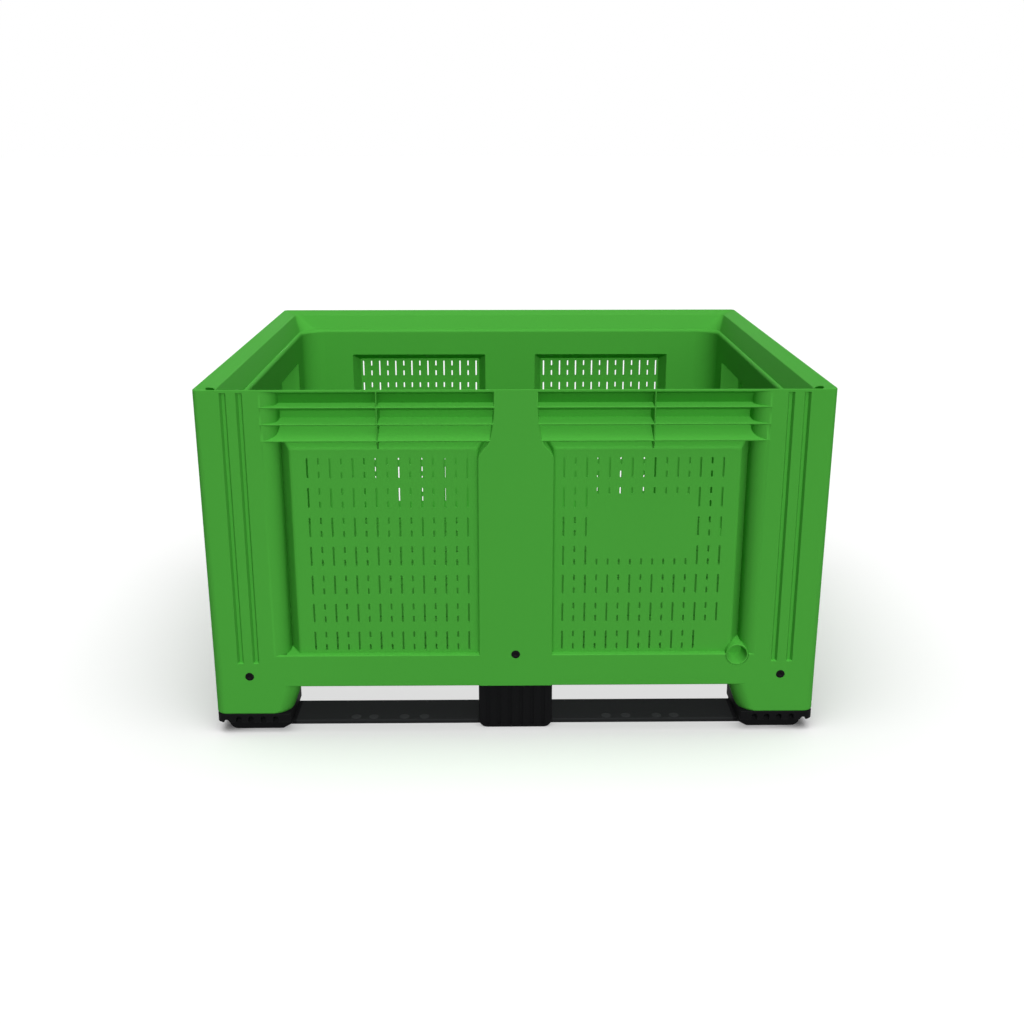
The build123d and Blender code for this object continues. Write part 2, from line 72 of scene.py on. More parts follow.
# %% [markdown]
# ## Writing shaders as sums
# A node tree is easier to read as arithmetic. `Wire` holds a socket and turns Python's own
# operators into Math nodes, and `Sketch` adds any other node with its settings first and then
# its sockets. Geometry trees use the same two classes, because Math nodes work there as well.


# %% Wires
class Wire:
    """A node's output that can be used in Python sums."""

    def __init__(self, sketch, socket):
        self.sketch = sketch
        self.socket = socket

    def math(self, operation, first, second=0.0):
        return self.sketch.wire("ShaderNodeMath", {"operation": operation}, {0: first, 1: second})

    def __add__(self, other):
        return self.math("ADD", self, other)

    __radd__ = __add__

    def __sub__(self, other):
        return self.math("SUBTRACT", self, other)

    def __rsub__(self, other):
        return self.math("SUBTRACT", other, self)

    def __mul__(self, other):
        return self.math("MULTIPLY", self, other)

    __rmul__ = __mul__

    def __truediv__(self, other):
        return self.math("DIVIDE", self, other)

    def __rtruediv__(self, other):
        return self.math("DIVIDE", other, self)

    def __mod__(self, other):
        return self.math("MODULO", self, other)

    def __rmod__(self, other):
        return self.math("MODULO", other, self)

    def __gt__(self, other):
        return self.math("GREATER_THAN", self, other)

    def __lt__(self, other):
        return self.math("LESS_THAN", self, other)

    def __abs__(self):
        return self.math("ABSOLUTE", self)

    def rounded_down(self):
        return self.math("FLOOR", self)

    def sign(self):
        return self.math("SIGN", self)

    def clamped(self):
        return self.sketch.wire("ShaderNodeClamp", {}, {"Value": self})

    def part(self, axis):
        return self.sketch.wire("ShaderNodeSeparateXYZ", {}, {"Vector": self}, output=axis)


print("wires ready")


# %% Sketches
class Sketch:
    """Adds nodes to one tree."""

    def __init__(self, tree):
        self.tree = tree
        tree.nodes.clear()

    def socket(self, sockets, key):
        if isinstance(key, int):
            return sockets[key]
        return next(one for one in sockets if key in (one.identifier, one.name))

    def node(self, kind, settings=None, sockets=None):
        node = self.tree.nodes.new(kind)
        for name, value in (settings or {}).items():
            setattr(node, name, value)
        for key, value in (sockets or {}).items():
            target = self.socket(node.inputs, key)
            for one in value if isinstance(value, list) else [value]:
                if isinstance(one, Wire):
                    self.tree.links.new(one.socket, target)
                else:
                    target.default_value = one
        return node

    def wire(self, kind, settings=None, sockets=None, output=0):
        node = self.node(kind, settings, sockets)
        return Wire(self, self.socket(node.outputs, output))


print("sketches ready")

# %% [markdown]
# ## Studio floor
# The box stands on a white studio floor. The floor bounces less light than it shows, which keeps
# the undersides of the ribs dark. Under the box it glows a little, because there the photo's
# ground is nearly as bright as around the box. It is a stage, not a piece of the box.

# %% Studio floor
FLOOR_SHOWN = 0.985
FLOOR_BOUNCE = 0.22
FLOOR_RADIUS = 60.0
FLOOR_SIDES = 64
GLOW = 0.71
GLOW_REACH = (0.64, 0.585)
GLOW_FADE = 0.08
WHITE = (1, 1, 1, 1)


def seen_directly(sketch):
    """One for rays from the camera, reflections and glass, nought for light that bounces."""
    rays = sketch.node("ShaderNodeLightPath").outputs
    kinds = ("Is Camera Ray", "Is Glossy Ray", "Is Transmission Ray")
    camera_ray, glossy, through = [Wire(sketch, rays[kind]) for kind in kinds]
    return (camera_ray + glossy + through).clamped()


bm = bmesh.new()
bmesh.ops.create_circle(bm, cap_ends=True, radius=FLOOR_RADIUS, segments=FLOOR_SIDES)
floor_mesh = bpy.data.meshes.new("studio_floor")
bm.to_mesh(floor_mesh)
bm.free()
studio_floor = bpy.data.objects.new("studio_floor", floor_mesh)
bpy.context.collection.objects.link(studio_floor)

floor_paint = bpy.data.materials.new("studio_floor")
floor_paint.use_nodes = True
sketch = Sketch(floor_paint.node_tree)
seen = seen_directly(sketch)
place = sketch.wire("ShaderNodeTexCoord", output="Object")
under = seen * GLOW
for axis, reach in zip("XY", GLOW_REACH):
    under = under * ((reach - abs(place.part(axis))) / GLOW_FADE).clamped()
pale = FLOOR_BOUNCE + seen * (FLOOR_SHOWN - FLOOR_BOUNCE)
paint = sketch.wire("ShaderNodeBsdfDiffuse", {}, {"Color": pale})
glow = sketch.wire("ShaderNodeEmission", {}, {"Color": WHITE, "Strength": 1.0})
surface = sketch.wire("ShaderNodeMixShader", {}, {0: under, 1: paint, 2: glow})
sketch.node("ShaderNodeOutputMaterial", {}, {"Surface": surface})
floor_mesh.materials.append(floor_paint)
print("studio floor", FLOOR_RADIUS, "m around the box")

# %% [markdown]
# ## Dome
# Camera rays see plain white behind everything. For all other light the dome is faint and only
# fills in the shadows.

# %% Dome
DOME = 0.07

world = bpy.data.worlds.new("studio")
world.use_nodes = True
bpy.context.scene.world = world
sketch = Sketch(world.node_tree)
strength = DOME + seen_directly(sketch) * (1.0 - DOME)
sky = sketch.wire("ShaderNodeBackground", {}, {"Color": WHITE, "Strength": strength})
sketch.node("ShaderNodeOutputWorld", {}, {"Surface": sky})
print("dome", DOME)

# %% [markdown]
# ## Lamps
# The photo shows no cast shadows inside the box, so the key lamp and the lamp overhead throw
# none, and a face's brightness depends on the way it looks. Light linking keeps the key off the
# floor deck, which lies in the shade of the walls. Two weaker lamps from the front do throw soft
# shadows, into the pockets between the ribs. A level lamp from behind, without any shine, lights
# the back, which the photo doesn't show. The ground lamp lights the studio floor alone and
# leaves the box's shadow on it.

# %% Lamps
# Strength, and then spread, tilt away from overhead and turn to the right in degrees
LAMPS = {
    "low": (0.55, 60.0, 80.0, 12.0),
    "soft": (0.55, 80.0, 38.0, 12.0),
    "key": (1.57, 36.0, 38.0, 11.0),
    "overhead": (0.75, 30.0, 20.0, 0.0),
    "ground": (3.25, 80.0, 14.0, 0.0),
    "back": (1.5, 20.0, 87.0, 180.0),
}
SHADOWLESS = ("key", "overhead")
SHINELESS = ("back",)


def leave_out(receivers, piece):
    """Keep a piece out of the light of the lamps that shine on these receivers."""
    receivers.objects.link(piece)
    receivers.collection_objects[-1].light_linking.link_state = "EXCLUDE"


floor_only = bpy.data.collections.new("floor_only")
floor_only.objects.link(studio_floor)
all_but_floor = bpy.data.collections.new("all_but_floor")
leave_out(all_but_floor, studio_floor)
walls_only = bpy.data.collections.new("walls_only")
leave_out(walls_only, studio_floor)
REACHES = {"ground": floor_only, "key": walls_only}

for name, (strength, spread, tilt, turn) in LAMPS.items():
    lamp = bpy.data.lights.new(name, "SUN")
    lamp.energy = strength
    lamp.angle = radians(spread)
    lamp.use_shadow = name not in SHADOWLESS
    lamp_object = bpy.data.objects.new(name, lamp)
    lamp_object.rotation_euler = Euler((radians(tilt), 0, radians(turn)))
    lamp_object.light_linking.receiver_collection = REACHES.get(name, all_but_floor)
    lamp_object.visible_glossy = name not in SHINELESS
    bpy.context.collection.objects.link(lamp_object)
print(len(LAMPS), "lamps set")

# %% [markdown]
# ## Plastics
# The box is dyed polyethylene with a satin skin, and the skids are black recycled plastic. All
# finishes get a faint cloudiness in colour and gloss and a fine moulded grain, on Object
# coordinates, so that no large face is a dead flat colour. The skids' boards get painted light,
# a little lighter on their tops, and the round marks on them get a lighter painted highlight.

# %% Plastics
CLOUD = {"Scale": 2.6, "Detail": 3.0}
GRAIN = {"Scale": 420.0, "Detail": 2.0}
GRAIN_DEPTH = 0.0006
GLOSS_DRIFT = 0.12
# Where the boards and their marks are painted lighter as painted light, and how much it drifts
BOARD_REACH = (0.082, 0.484)
BOARD_LEVEL = 0.0125
MARK_LEVEL = 0.0108
BOARD_PAINTED_LIGHT = (0.0185, 0.0195, 0.020)
MARK_PAINTED_HIGHLIGHT = (0.032, 0.034, 0.035)
PAINTED_LIGHT_LEAST = 0.8
PAINTED_LIGHT_DRIFT = 0.4


def blended(sketch, factor, first, second):
    """Mix of two colours."""
    return sketch.wire(
        "ShaderNodeMix",
        {"data_type": "RGBA"},
        {"Factor_Float": factor, "A_Color": first, "B_Color": second},
        output="Result_Color",
    )


def plastic(name, light, dark, roughness, gloss, grain, painted_board_light=False):
    """A moulded plastic that drifts between two colours, with painted light on boards and their
    marks.
    """
    material = bpy.data.materials.new(name)
    material.use_nodes = True
    sketch = Sketch(material.node_tree)
    place = sketch.wire("ShaderNodeTexCoord", output="Object")
    cloud = sketch.wire("ShaderNodeTexNoise", {}, {"Vector": place} | CLOUD)
    fine = sketch.wire("ShaderNodeTexNoise", {}, {"Vector": place} | GRAIN)
    tint = blended(sketch, cloud, (*dark, 1), (*light, 1))
    # Painted light: board tops are painted lighter, and their round marks get a lighter painted
    # highlight
    if painted_board_light:
        reach, level = abs(place.part("X")), place.part("Z")
        on_board = (reach > BOARD_REACH[0]) * (reach < BOARD_REACH[1]) * (level < BOARD_LEVEL)
        painted_light = PAINTED_LIGHT_LEAST + cloud * PAINTED_LIGHT_DRIFT
        for mask, colour in ((on_board, BOARD_PAINTED_LIGHT), (on_board * (level > MARK_LEVEL), MARK_PAINTED_HIGHLIGHT)):
            tint = blended(sketch, mask * painted_light, tint, (*colour, 1))
    skin = sketch.wire(
        "ShaderNodeBump", {}, {"Height": fine, "Strength": grain, "Distance": GRAIN_DEPTH}
    )
    shader = sketch.wire(
        "ShaderNodeBsdfPrincipled",
        {},
        {
            "Base Color": tint, "Roughness": roughness + (cloud - 0.5) * GLOSS_DRIFT,
            "Normal": skin, "Specular IOR Level": gloss,
        },
    )
    sketch.node("ShaderNodeOutputMaterial", {}, {"Surface": shader})
    return material


GREEN = plastic("green_plastic", (0.079, 0.425, 0.051), (0.073, 0.400, 0.0475), 0.58, 0.02, 0.10)
BLACK = plastic(
    "black_plastic", (0.0075, 0.0076, 0.0083), (0.0055, 0.0056, 0.0062), 0.58, 0.04, 0.25, True
)
PIN_BLACK = plastic(
    "pin_plastic", (0.0035, 0.0033, 0.0038), (0.0025, 0.0024, 0.0028), 0.60, 0.08, 0.20
)
print("plastics", GREEN.name, BLACK.name, PIN_BLACK.name)

# %% [markdown]
# ## Outlines
# Each piece starts as flat outlines with rounded corners. The round edges are put into the
# outlines themselves, because a Bevel modifier stumbles over the many short edges that booleans
# leave. Lengths are in millimetres until a piece is finished.

# %% Outlines
EDGE_ROUND = [(1 - cos(radians(turn)), 1 - sin(radians(turn))) for turn in (0, 30, 60, 90)]


def rounded(corners, steps=4):
    """Outline through corners of x, y and radius, with an arc at each one that has a radius."""
    outline = []
    for number, (x, y, radius) in enumerate(corners):
        corner = Vector((x, y))
        if radius <= 0:
            outline.append(corner)
            continue
        back = (Vector(corners[number - 1][:2]) - corner).normalized()
        ahead = (Vector(corners[(number + 1) % len(corners)][:2]) - corner).normalized()
        half = back.angle(ahead) / 2
        middle = corner + (back + ahead).normalized() * radius / sin(half)
        start = corner + back * radius / tan(half) - middle
        end = corner + ahead * radius / tan(half) - middle
        sweep = start.angle(end)
        for step in range(steps + 1):
            part = step / steps
            spoke = start * sin((1 - part) * sweep) + end * sin(part * sweep)
            outline.append(middle + spoke / sin(sweep))
    return outline


def rectangle(left, right, low, high, radius=0.0, steps=4):
    """Rectangle with round corners."""
    corners = ((left, low), (right, low), (right, high), (left, high))
    return rounded([(*corner, radius) for corner in corners], steps)


def circle(radius, steps):
    """Points of a circle around the origin."""
    turns = [radians(360 * (step + 0.5) / steps) for step in range(steps)]
    return [(radius * cos(turn), radius * sin(turn)) for turn in turns]


def round_ends(low, low_round, high, high_round):
    """Rows of place and shrink from one end to the other, with both ends rounded."""
    rows = [(low + low_round * depth, low_round * shrink) for depth, shrink in EDGE_ROUND]
    for depth, shrink in EDGE_ROUND[::-1]:
        rows.append((high - high_round * depth, high_round * shrink))
    return rows


print("outline helpers ready")

# %% [markdown]
# ## Solids
# `loft` skins a row of outlines into a closed solid, and `combine` joins or cuts solids with the
# Manifold boolean solver, which is quick and keeps the result closed. `describe` counts open
# edges, so that a solid that isn't closed shows at once.


# %% Lofts and cuts
def new_piece(name, bm):
    """Object in the scene from a finished bmesh."""
    mesh = bpy.data.meshes.new(name)
    bm.to_mesh(mesh)
    bm.free()
    piece = bpy.data.objects.new(name, mesh)
    bpy.context.collection.objects.link(piece)
    return piece


def loft(name, loops):
    """Closed solid through outlines that have the same number of points."""
    bm = bmesh.new()
    rows = [[bm.verts.new(point) for point in loop] for loop in loops]
    count = len(rows[0])
    for low, high in zip(rows, rows[1:]):
        for one in range(count):
            two = (one + 1) % count
            bm.faces.new((low[one], low[two], high[two], high[one]))
    bm.faces.new(rows[0][::-1])
    bm.faces.new(rows[-1])
    bmesh.ops.recalc_face_normals(bm, faces=bm.faces)
    return new_piece(name, bm)


def settled(piece):
    """Mesh of a piece with its modifiers applied."""
    bpy.context.view_layer.update()
    graph = bpy.context.evaluated_depsgraph_get()
    return bpy.data.meshes.new_from_object(piece.evaluated_get(graph))


def combine(body, operation, tools):
    """Join tools to a body or cut them from it."""
    for tool in tools:
        step = body.modifiers.new(tool.name, "BOOLEAN")
        step.solver = "MANIFOLD"
        step.operation = operation
        step.object = tool
    mesh = settled(body)
    body.modifiers.clear()
    body.data = mesh
    for tool in tools:
        bpy.data.objects.remove(tool)
    return body


def describe(piece):
    """Print how many faces a piece has, its litres and its open edges."""
    bm = bmesh.new()
    bm.from_mesh(piece.data)
    loose = sum(not edge.is_manifold for edge in bm.edges)
    litres = bm.calc_volume() * 1e-6
    print(piece.name, len(bm.faces), "faces", round(litres, 2), "litres", loose, "open edges")
    bm.free()


print("solid helpers ready")

# %% [markdown]
# ## Places on the box
# All four walls are built alike, so a place is given as a distance along a wall, an inset from
# its outer face and a height. These helpers stand outlines in a wall, across it or flat.

# %% Places on the box
HALF_LENGTH = 650.0
HALF_WIDTH = 575.0
HALF_SPAN = {"long": HALF_LENGTH, "short": HALF_WIDTH}
CORNER_STEPS = 10


def at(wall, along, inset, height):
    """Point of the quarter at a place along a wall, an inset from its face and a height."""
    if wall == "long":
        return Vector((along, inset - HALF_WIDTH, height))
    return Vector((HALF_LENGTH - inset, -along, height))


def upright(wall, inset, outline):
    """Outline of along and height, stood in a wall at an inset."""
    return [at(wall, along, inset, height) for along, height in outline]


def section(wall, along, outline):
    """Outline of inset and height, stood across a wall."""
    return [at(wall, along, inset, height) for inset, height in outline]


def laid(outline, height):
    """Outline laid flat at a height."""
    return [(x, y, height) for x, y in outline]


def plan(inset, radius, height):
    """Quarter of the box's plan at an inset and a height, out from the middle."""
    x, y = HALF_LENGTH - inset, inset - HALF_WIDTH
    outline = rounded([(0, 0, 0), (0, y, 0), (x, y, radius), (x, 0, 0)], CORNER_STEPS)
    return laid(outline, height)


print("box", 2 * HALF_LENGTH, "by", 2 * HALF_WIDTH, "mm")

# %% [markdown]
# ## One quarter of the moulding: liner, corner post and leg
# The green box is a single injection moulding and is alike in all four quarters, apart from the
# slots. So only the quarter at the front right is built and mirrored twice. It begins as solid
# outer shapes: the inner liner, and the L-shaped corner post with a flared leg under it.

# %% Liner, corner post and leg
SKIN = 5.0
LINER_INSET = 59.0
CAVITY_RADIUS = 60.0
LINER_RADIUS = CAVITY_RADIUS + SKIN
DEEP = 62.0
DECK_BOTTOM = 154.0
LEDGE_HEIGHT = 712.0
RIM_FOOT = 757.0
POST_WIDTH = 164.5
POST_EDGE = 33.0
POST_CORNER = 23.0
RIM_CORNER = 11.0
POST_LEVELS = ((DECK_BOTTOM, POST_CORNER), (RIM_FOOT, RIM_CORNER))
LEG_EDGE = 34.0
# Height, reach along the wall and inset
LEG_LEVELS = (
    (45.0, 154.0, 2.5), (46.2, 158.5, 0.9), (48.5, 162.5, 0.0), (53.0, 166.0, 0.0),
    (62.0, 169.5, 0.0), (110.0, 187.0, 0.0), (160.0, 187.0, 0.0),
)


def corner_plan(reach, end_radius, inset, back, height, corner=POST_CORNER):
    """L-shaped plan around the box's corner, with the ends of its outer faces rounded."""
    out_x, out_y = HALF_LENGTH - inset, inset - HALF_WIDTH
    end_x, end_y = HALF_LENGTH - reach, reach - HALF_WIDTH
    back_x, back_y = HALF_LENGTH - back, back - HALF_WIDTH
    corners = [
        (out_x, out_y, corner - inset), (end_x, out_y, end_radius), (end_x, back_y, 0),
        (back_x, back_y, 0), (back_x, end_y, 0), (out_x, end_y, end_radius),
    ]
    return laid(rounded(corners, CORNER_STEPS), height)


liner = loft("liner", [plan(LINER_INSET, LINER_RADIUS, z) for z in (DECK_BOTTOM, LEDGE_HEIGHT)])
post_plans = [corner_plan(POST_WIDTH, POST_EDGE, 0, DEEP, z, corner) for z, corner in POST_LEVELS]
leg_plans = [
    corner_plan(reach, LEG_EDGE, inset, LINER_INSET, z) for z, reach, inset in LEG_LEVELS
]
quarter = combine(liner, "UNION", [loft("post", post_plans), loft("leg", leg_plans)])
quarter.name = "quarter"
describe(quarter)

# %% [markdown]
# ## Columns and trays
# In the middle of each wall stands a flat column that narrows to a neck under the rim. The neck
# is a run of three Bezier curves through the widths read off the photo. Between the column and
# the post each wall is pressed outward into a shallow tray with bevelled edges, and the vent
# slots go through its face.

# %% Columns and trays
RAIL_BOTTOM = 110.0
COLUMN_HALF = 78.0
COLUMN_NECK = 45.0
COLUMN_EDGE = 2.5
COLUMN_DRAFT = 0.8
NECK_CURVES = (
    ((78.0, 614.0), (78.0, 622.0), (68.5, 634.0), (62.0, 640.0)),
    ((62.0, 640.0), (55.5, 647.0), (52.3, 656.0), (50.6, 668.0)),
    ((50.6, 668.0), (48.8, 682.0), (45.0, 700.0), (45.0, 715.0)),
)
CURVE_POINTS = 6
TRAY_INSET = 14.0
TRAY_TOP = 636.0
TRAY_INNER = 79.0
TRAY_FROM_CORNER = 186.5
TRAY_CORNER = 6.0
TRAY_EDGE = 7.0
BEVEL_SLOPE = 18.0 / 45.0
OUTER_BEVEL_RATIO = 1.3
TOP_BEVEL_RATIO = 19.0 / 18.0


def column_outline(grow, bottom, top):
    """Half a column as along and height, with its side moved out or in."""
    side = [(COLUMN_HALF, bottom)]
    for curve in NECK_CURVES:
        points = interpolate_bezier(*[Vector(point) for point in curve], CURVE_POINTS)
        side += [(point.x, point.y) for point in points[:-1]]
    side += [(COLUMN_NECK, NECK_CURVES[-1][-1][1]), (COLUMN_NECK, top)]
    return [(0, bottom)] + [(along + grow, height) for along, height in side] + [(0, top)]


def column(wall):
    """Solid half column with round front edges."""
    levels = [(COLUMN_EDGE * depth, -COLUMN_EDGE * shrink) for depth, shrink in EDGE_ROUND]
    loops = []
    for inset, grow in levels + [(DEEP, COLUMN_DRAFT)]:
        loops.append(upright(wall, inset, column_outline(grow, RAIL_BOTTOM, RIM_FOOT)))
    return loft("column", loops)


def tray_outline(wall, spread, bottom, top, inner, from_corner, radius, outer_ratio=1.0):
    """Outline of a tray or its hollow, spread sideways and upward by its bevels."""
    left, right = inner - spread, HALF_SPAN[wall] - from_corner + spread * outer_ratio
    crest = top + spread * TOP_BEVEL_RATIO
    corners = [(left, bottom, 0), (right, bottom, 0), (right, crest, radius), (left, crest, radius)]
    return rounded(corners)


def tray(wall):
    """Solid tray with a round edge between its face and its bevels."""
    back_spread = (DEEP - TRAY_INSET) * BEVEL_SLOPE
    bend = [(TRAY_INSET, -TRAY_TOP, 0), (TRAY_INSET, 0, TRAY_EDGE), (DEEP, back_spread, 0)]
    loops = []
    for inset, spread in rounded(bend, 3)[1:]:
        outline = tray_outline(
            wall, spread, DECK_BOTTOM, TRAY_TOP, TRAY_INNER, TRAY_FROM_CORNER, TRAY_CORNER,
            OUTER_BEVEL_RATIO,
        )
        loops.append(upright(wall, inset, outline))
    return loft("tray", loops)


combine(quarter, "UNION", [make(wall) for wall in HALF_SPAN for make in (column, tray)])
describe(quarter)

# %% [markdown]
# ## Header ribs and bottom rail
# Under the rim three ribs run from post to post. The lowest one climbs towards the wall, so the
# last pocket looks bright. An upright gusset halves each bay. At the bottom a rail closes the
# wall: a skirt around the whole box with a ledge behind it.

# %% Header ribs and bottom rail
RIB_TOPS = (724.5, 689.5, 654.5)
RIB_THICKNESS = 3.5
RIB_ROUND = 1.6
RIB_DRAFT = 0.5
RIB_CLIMB = 26.0
RIB_INTO_POST = 4.0
GUSSET_HALF = 1.5
GUSSET_EDGE = ((-1, 1.2), (-0.4, 0), (0.4, 0), (1, 1.2))
GUSSET_BACK = [
    (TRAY_INSET, TRAY_TOP - 2), (DEEP, TRAY_TOP + 16), (DEEP, LEDGE_HEIGHT - 1), (36, 749),
]
RAIL_TOP = 182.0
RAIL_ROUND = 3.0
SKIRT_ROUND = 2.0


def rib(wall, top, climb):
    """Rib with a round front edge that runs into the corner post."""
    low = top - RIB_THICKNESS
    corners = [
        (0, low, RIB_ROUND), (0, top, RIB_ROUND),
        (DEEP, top + climb + RIB_DRAFT, 0), (DEEP, low + climb - RIB_DRAFT, 0),
    ]
    outline = rounded(corners, 3)
    end = HALF_SPAN[wall] - POST_WIDTH + POST_EDGE + RIB_INTO_POST
    return loft("rib", [section(wall, along, outline) for along in (0, end)])


def gusset(wall):
    """Thin upright web halfway along a bay."""
    middle = (COLUMN_HALF + HALF_SPAN[wall] - POST_WIDTH) / 2
    lip = RIB_TOPS[-1] - RIB_THICKNESS
    loops = []
    for offset, inset in GUSSET_EDGE:
        outline = [(inset, lip), *GUSSET_BACK, (inset, RIM_FOOT)]
        loops.append(section(wall, middle + offset * GUSSET_HALF, outline))
    return loft("gusset", loops)


def ledge(wall):
    """Level top of the bottom rail, from the skirt back to the liner."""
    end = HALF_SPAN[wall] - POST_WIDTH + SKIN
    low, near = RAIL_TOP - SKIN, RAIL_ROUND
    outline = [(near, low), (near, RAIL_TOP), (DEEP, RAIL_TOP), (DEEP, low)]
    return loft("ledge", [section(wall, along, outline) for along in (COLUMN_HALF - SKIN, end)])


def skirt():
    """Strip around the quarter with its lower and upper edge rounded."""
    loops = []
    for height, inset in round_ends(RAIL_BOTTOM, SKIRT_ROUND, RAIL_TOP, RAIL_ROUND):
        outside = plan(inset, POST_CORNER - inset, height)[1:]
        inside = plan(SKIN, POST_CORNER - SKIN, height)[1:]
        loops.append(outside + inside[::-1])
    return loft("skirt", loops)


webs = [skirt()]
for wall in HALF_SPAN:
    webs += [rib(wall, top, RIB_CLIMB * (top == RIB_TOPS[-1])) for top in RIB_TOPS]
    webs += [gusset(wall), ledge(wall)]
combine(quarter, "UNION", webs)
describe(quarter)

# %% [markdown]
# ## Hollows
# The post, leg and column are open from below, so their hollows are cut next, with an even skin
# left around them.

# %% Hollows
LEG_HOLLOW = ((40.0, 143.0), (48.5, 154.5), (62.0, 163.6), (110.0, 182.0), (150.0, 182.0))
LEG_HOLLOW_BACK = 70.0
POST_HOLLOW = (145.0, 706.0)
COLUMN_HOLLOW = (100.0, 745.0)
COLUMN_WALL = 6.0

leg_plans = [
    corner_plan(reach, LEG_EDGE - SKIN, SKIN, LEG_HOLLOW_BACK, z) for z, reach in LEG_HOLLOW
]
post_plans = [
    corner_plan(POST_WIDTH - SKIN, POST_EDGE - SKIN, SKIN, LINER_INSET, z) for z in POST_HOLLOW
]
hollows = [loft("leg_hollow", leg_plans), loft("post_hollow", post_plans)]
inside = column_outline(-COLUMN_WALL, *COLUMN_HOLLOW)
for wall in HALF_SPAN:
    loops = [upright(wall, inset, inside) for inset in (SKIN, LINER_INSET)]
    hollows.append(loft("column_hollow", loops))
combine(quarter, "DIFFERENCE", hollows)
describe(quarter)

# %% [markdown]
# ## Rim and mouth
# The rim is put on as a solid funnel, and the mouth is cut through everything in one go: a land
# that slopes inward, a steeper slope, a crease, a ledge that rolls over, and the straight inner
# wall. Its corners get rounder from the rim down to the wall.

# %% Rim and mouth
RIM_TOP = 760.0
LIP_ROUND = 1.3
LAND_EDGE = (36.0, 750.0)
LAND_ROUND = 3.0
LAND_CORNER = 14.0
TOE = (54.0, LEDGE_HEIGHT)
TOE_CORNER = 44.0
CREASE = ((53.5, 713.0), (54.6, 709.6), (56.4, 712.0))
CAVITY_INSET = 64.0
LEDGE_ROLL = 8.0
ROLL_CORNER_RATIO = 1.5
# Inset, height and corner radius
FUNNEL_LEVELS = (
    (0, 762, RIM_CORNER), (0, 755, RIM_CORNER), (31, 745, LAND_CORNER), (49, 707, TOE_CORNER),
)
MOUTH_OUTSIDE = -6.0
MOUTH_TOP = 775.0
MOUTH_BOTTOM = 150.0

funnel = loft("funnel", [plan(inset, radius, z) for inset, z, radius in FUNNEL_LEVELS])
combine(quarter, "UNION", [funnel])

inner_edge = (CAVITY_INSET, LEDGE_HEIGHT, LEDGE_ROLL)
lip = rounded([(0, DECK_BOTTOM, 0), (0, RIM_TOP, LIP_ROUND), (*LAND_EDGE, 0)])[1:-1]
land = rounded([(0, RIM_TOP, 0), (*LAND_EDGE, LAND_ROUND), (*TOE, 0)], 3)[1:-1]
roll = rounded([(*TOE, 0), inner_edge, (CAVITY_INSET, DECK_BOTTOM, 0)], 5)[1:-1]
mouth_levels = [(MOUTH_OUTSIDE, z, RIM_CORNER) for z in (MOUTH_TOP, lip[0].y)]
mouth_levels += [(*point, RIM_CORNER) for point in lip]
mouth_levels += [(*point, LAND_CORNER) for point in land]
mouth_levels += [(*point, TOE_CORNER) for point in CREASE]
for inset, z in roll:
    radius = CAVITY_RADIUS + (inset - CAVITY_INSET) * ROLL_CORNER_RATIO
    mouth_levels.append((inset, z, radius))
mouth_levels.append((CAVITY_INSET, MOUTH_BOTTOM, CAVITY_RADIUS))
mouth = loft("mouth", [plan(inset, radius, z) for inset, z, radius in mouth_levels])
combine(quarter, "DIFFERENCE", [mouth])
describe(quarter)

# %% [markdown]
# ## Windows, grooves and holes
# From inside the box each tray is a window-shaped recess with bevelled sides. Two shallow grooves
# run down each face of the post, with a strip of plastic behind them, and the lock pins get round
# holes.

# %% Windows, grooves and holes
DECK_TOP = 160.0
WINDOW_INSET = 19.0
WINDOW_BACK = 66.0
WINDOW_TOP = 622.0
WINDOW_INNER = 89.0
WINDOW_FROM_CORNER = 217.0
WINDOW_CORNER = 3.0
GROOVE_PLACES = (61.0, 94.0)
GROOVE_HALF = 6.25
GROOVE_DEPTH = 8.0
GROOVE_PROFILE = ((-1.0, -0.5), (0.0, -0.5), (0.8, 0.0), (2.0, 0.5), (GROOVE_DEPTH, 3.3))
GROOVE_ENDS = (164.0, 753.0)
GROOVE_END_SHRINK = 0.6
GROOVE_CORNER = 2.0
GROOVE_BACKING = 4.5
BACKING_ENDS = (158.0, 749.0)
BACKING_DEPTHS = (3.0, GROOVE_DEPTH + GROOVE_BACKING)
PIN_HOLE_RADIUS = 9.6
PIN_HOLE_DEPTHS = (-2.0, 8.0)
PIN_STEPS = 32
CORNER_PIN = (572.0, 133.5)
COLUMN_PIN = (0.0, 182.5)


def window(wall):
    """Recess of a tray, cut from the inside of the box."""
    loops = []
    for inset in (WINDOW_INSET, WINDOW_BACK):
        spread = (inset - WINDOW_INSET) * BEVEL_SLOPE
        outline = tray_outline(
            wall, spread, DECK_TOP, WINDOW_TOP, WINDOW_INNER, WINDOW_FROM_CORNER, WINDOW_CORNER
        )
        loops.append(upright(wall, inset, outline))
    return loft("window", loops)


def groove(wall, from_corner):
    """Shallow groove with steep sides and a flat floor."""
    middle, (low, high) = HALF_SPAN[wall] - from_corner, GROOVE_ENDS
    loops = []
    for inset, shrink in GROOVE_PROFILE:
        half, end = GROOVE_HALF - shrink, min(shrink, GROOVE_END_SHRINK)
        turn = min(GROOVE_CORNER, 2 * half / 3)
        outline = rectangle(middle - half, middle + half, low + end, high - end, turn, 3)
        loops.append(upright(wall, inset, outline))
    return loft("groove", loops)


def backing(wall, from_corner):
    """Strip of extra plastic behind a groove."""
    middle, reach = HALF_SPAN[wall] - from_corner, GROOVE_HALF + GROOVE_BACKING
    outline = rectangle(middle - reach, middle + reach, *BACKING_ENDS)
    return loft("backing", [upright(wall, inset, outline) for inset in BACKING_DEPTHS])


def pin_hole(wall, place):
    """Round hole through a wall's skin."""
    outline = [(place[0] + x, place[1] + y) for x, y in circle(PIN_HOLE_RADIUS, PIN_STEPS)]
    return loft("pin_hole", [upright(wall, inset, outline) for inset in PIN_HOLE_DEPTHS])


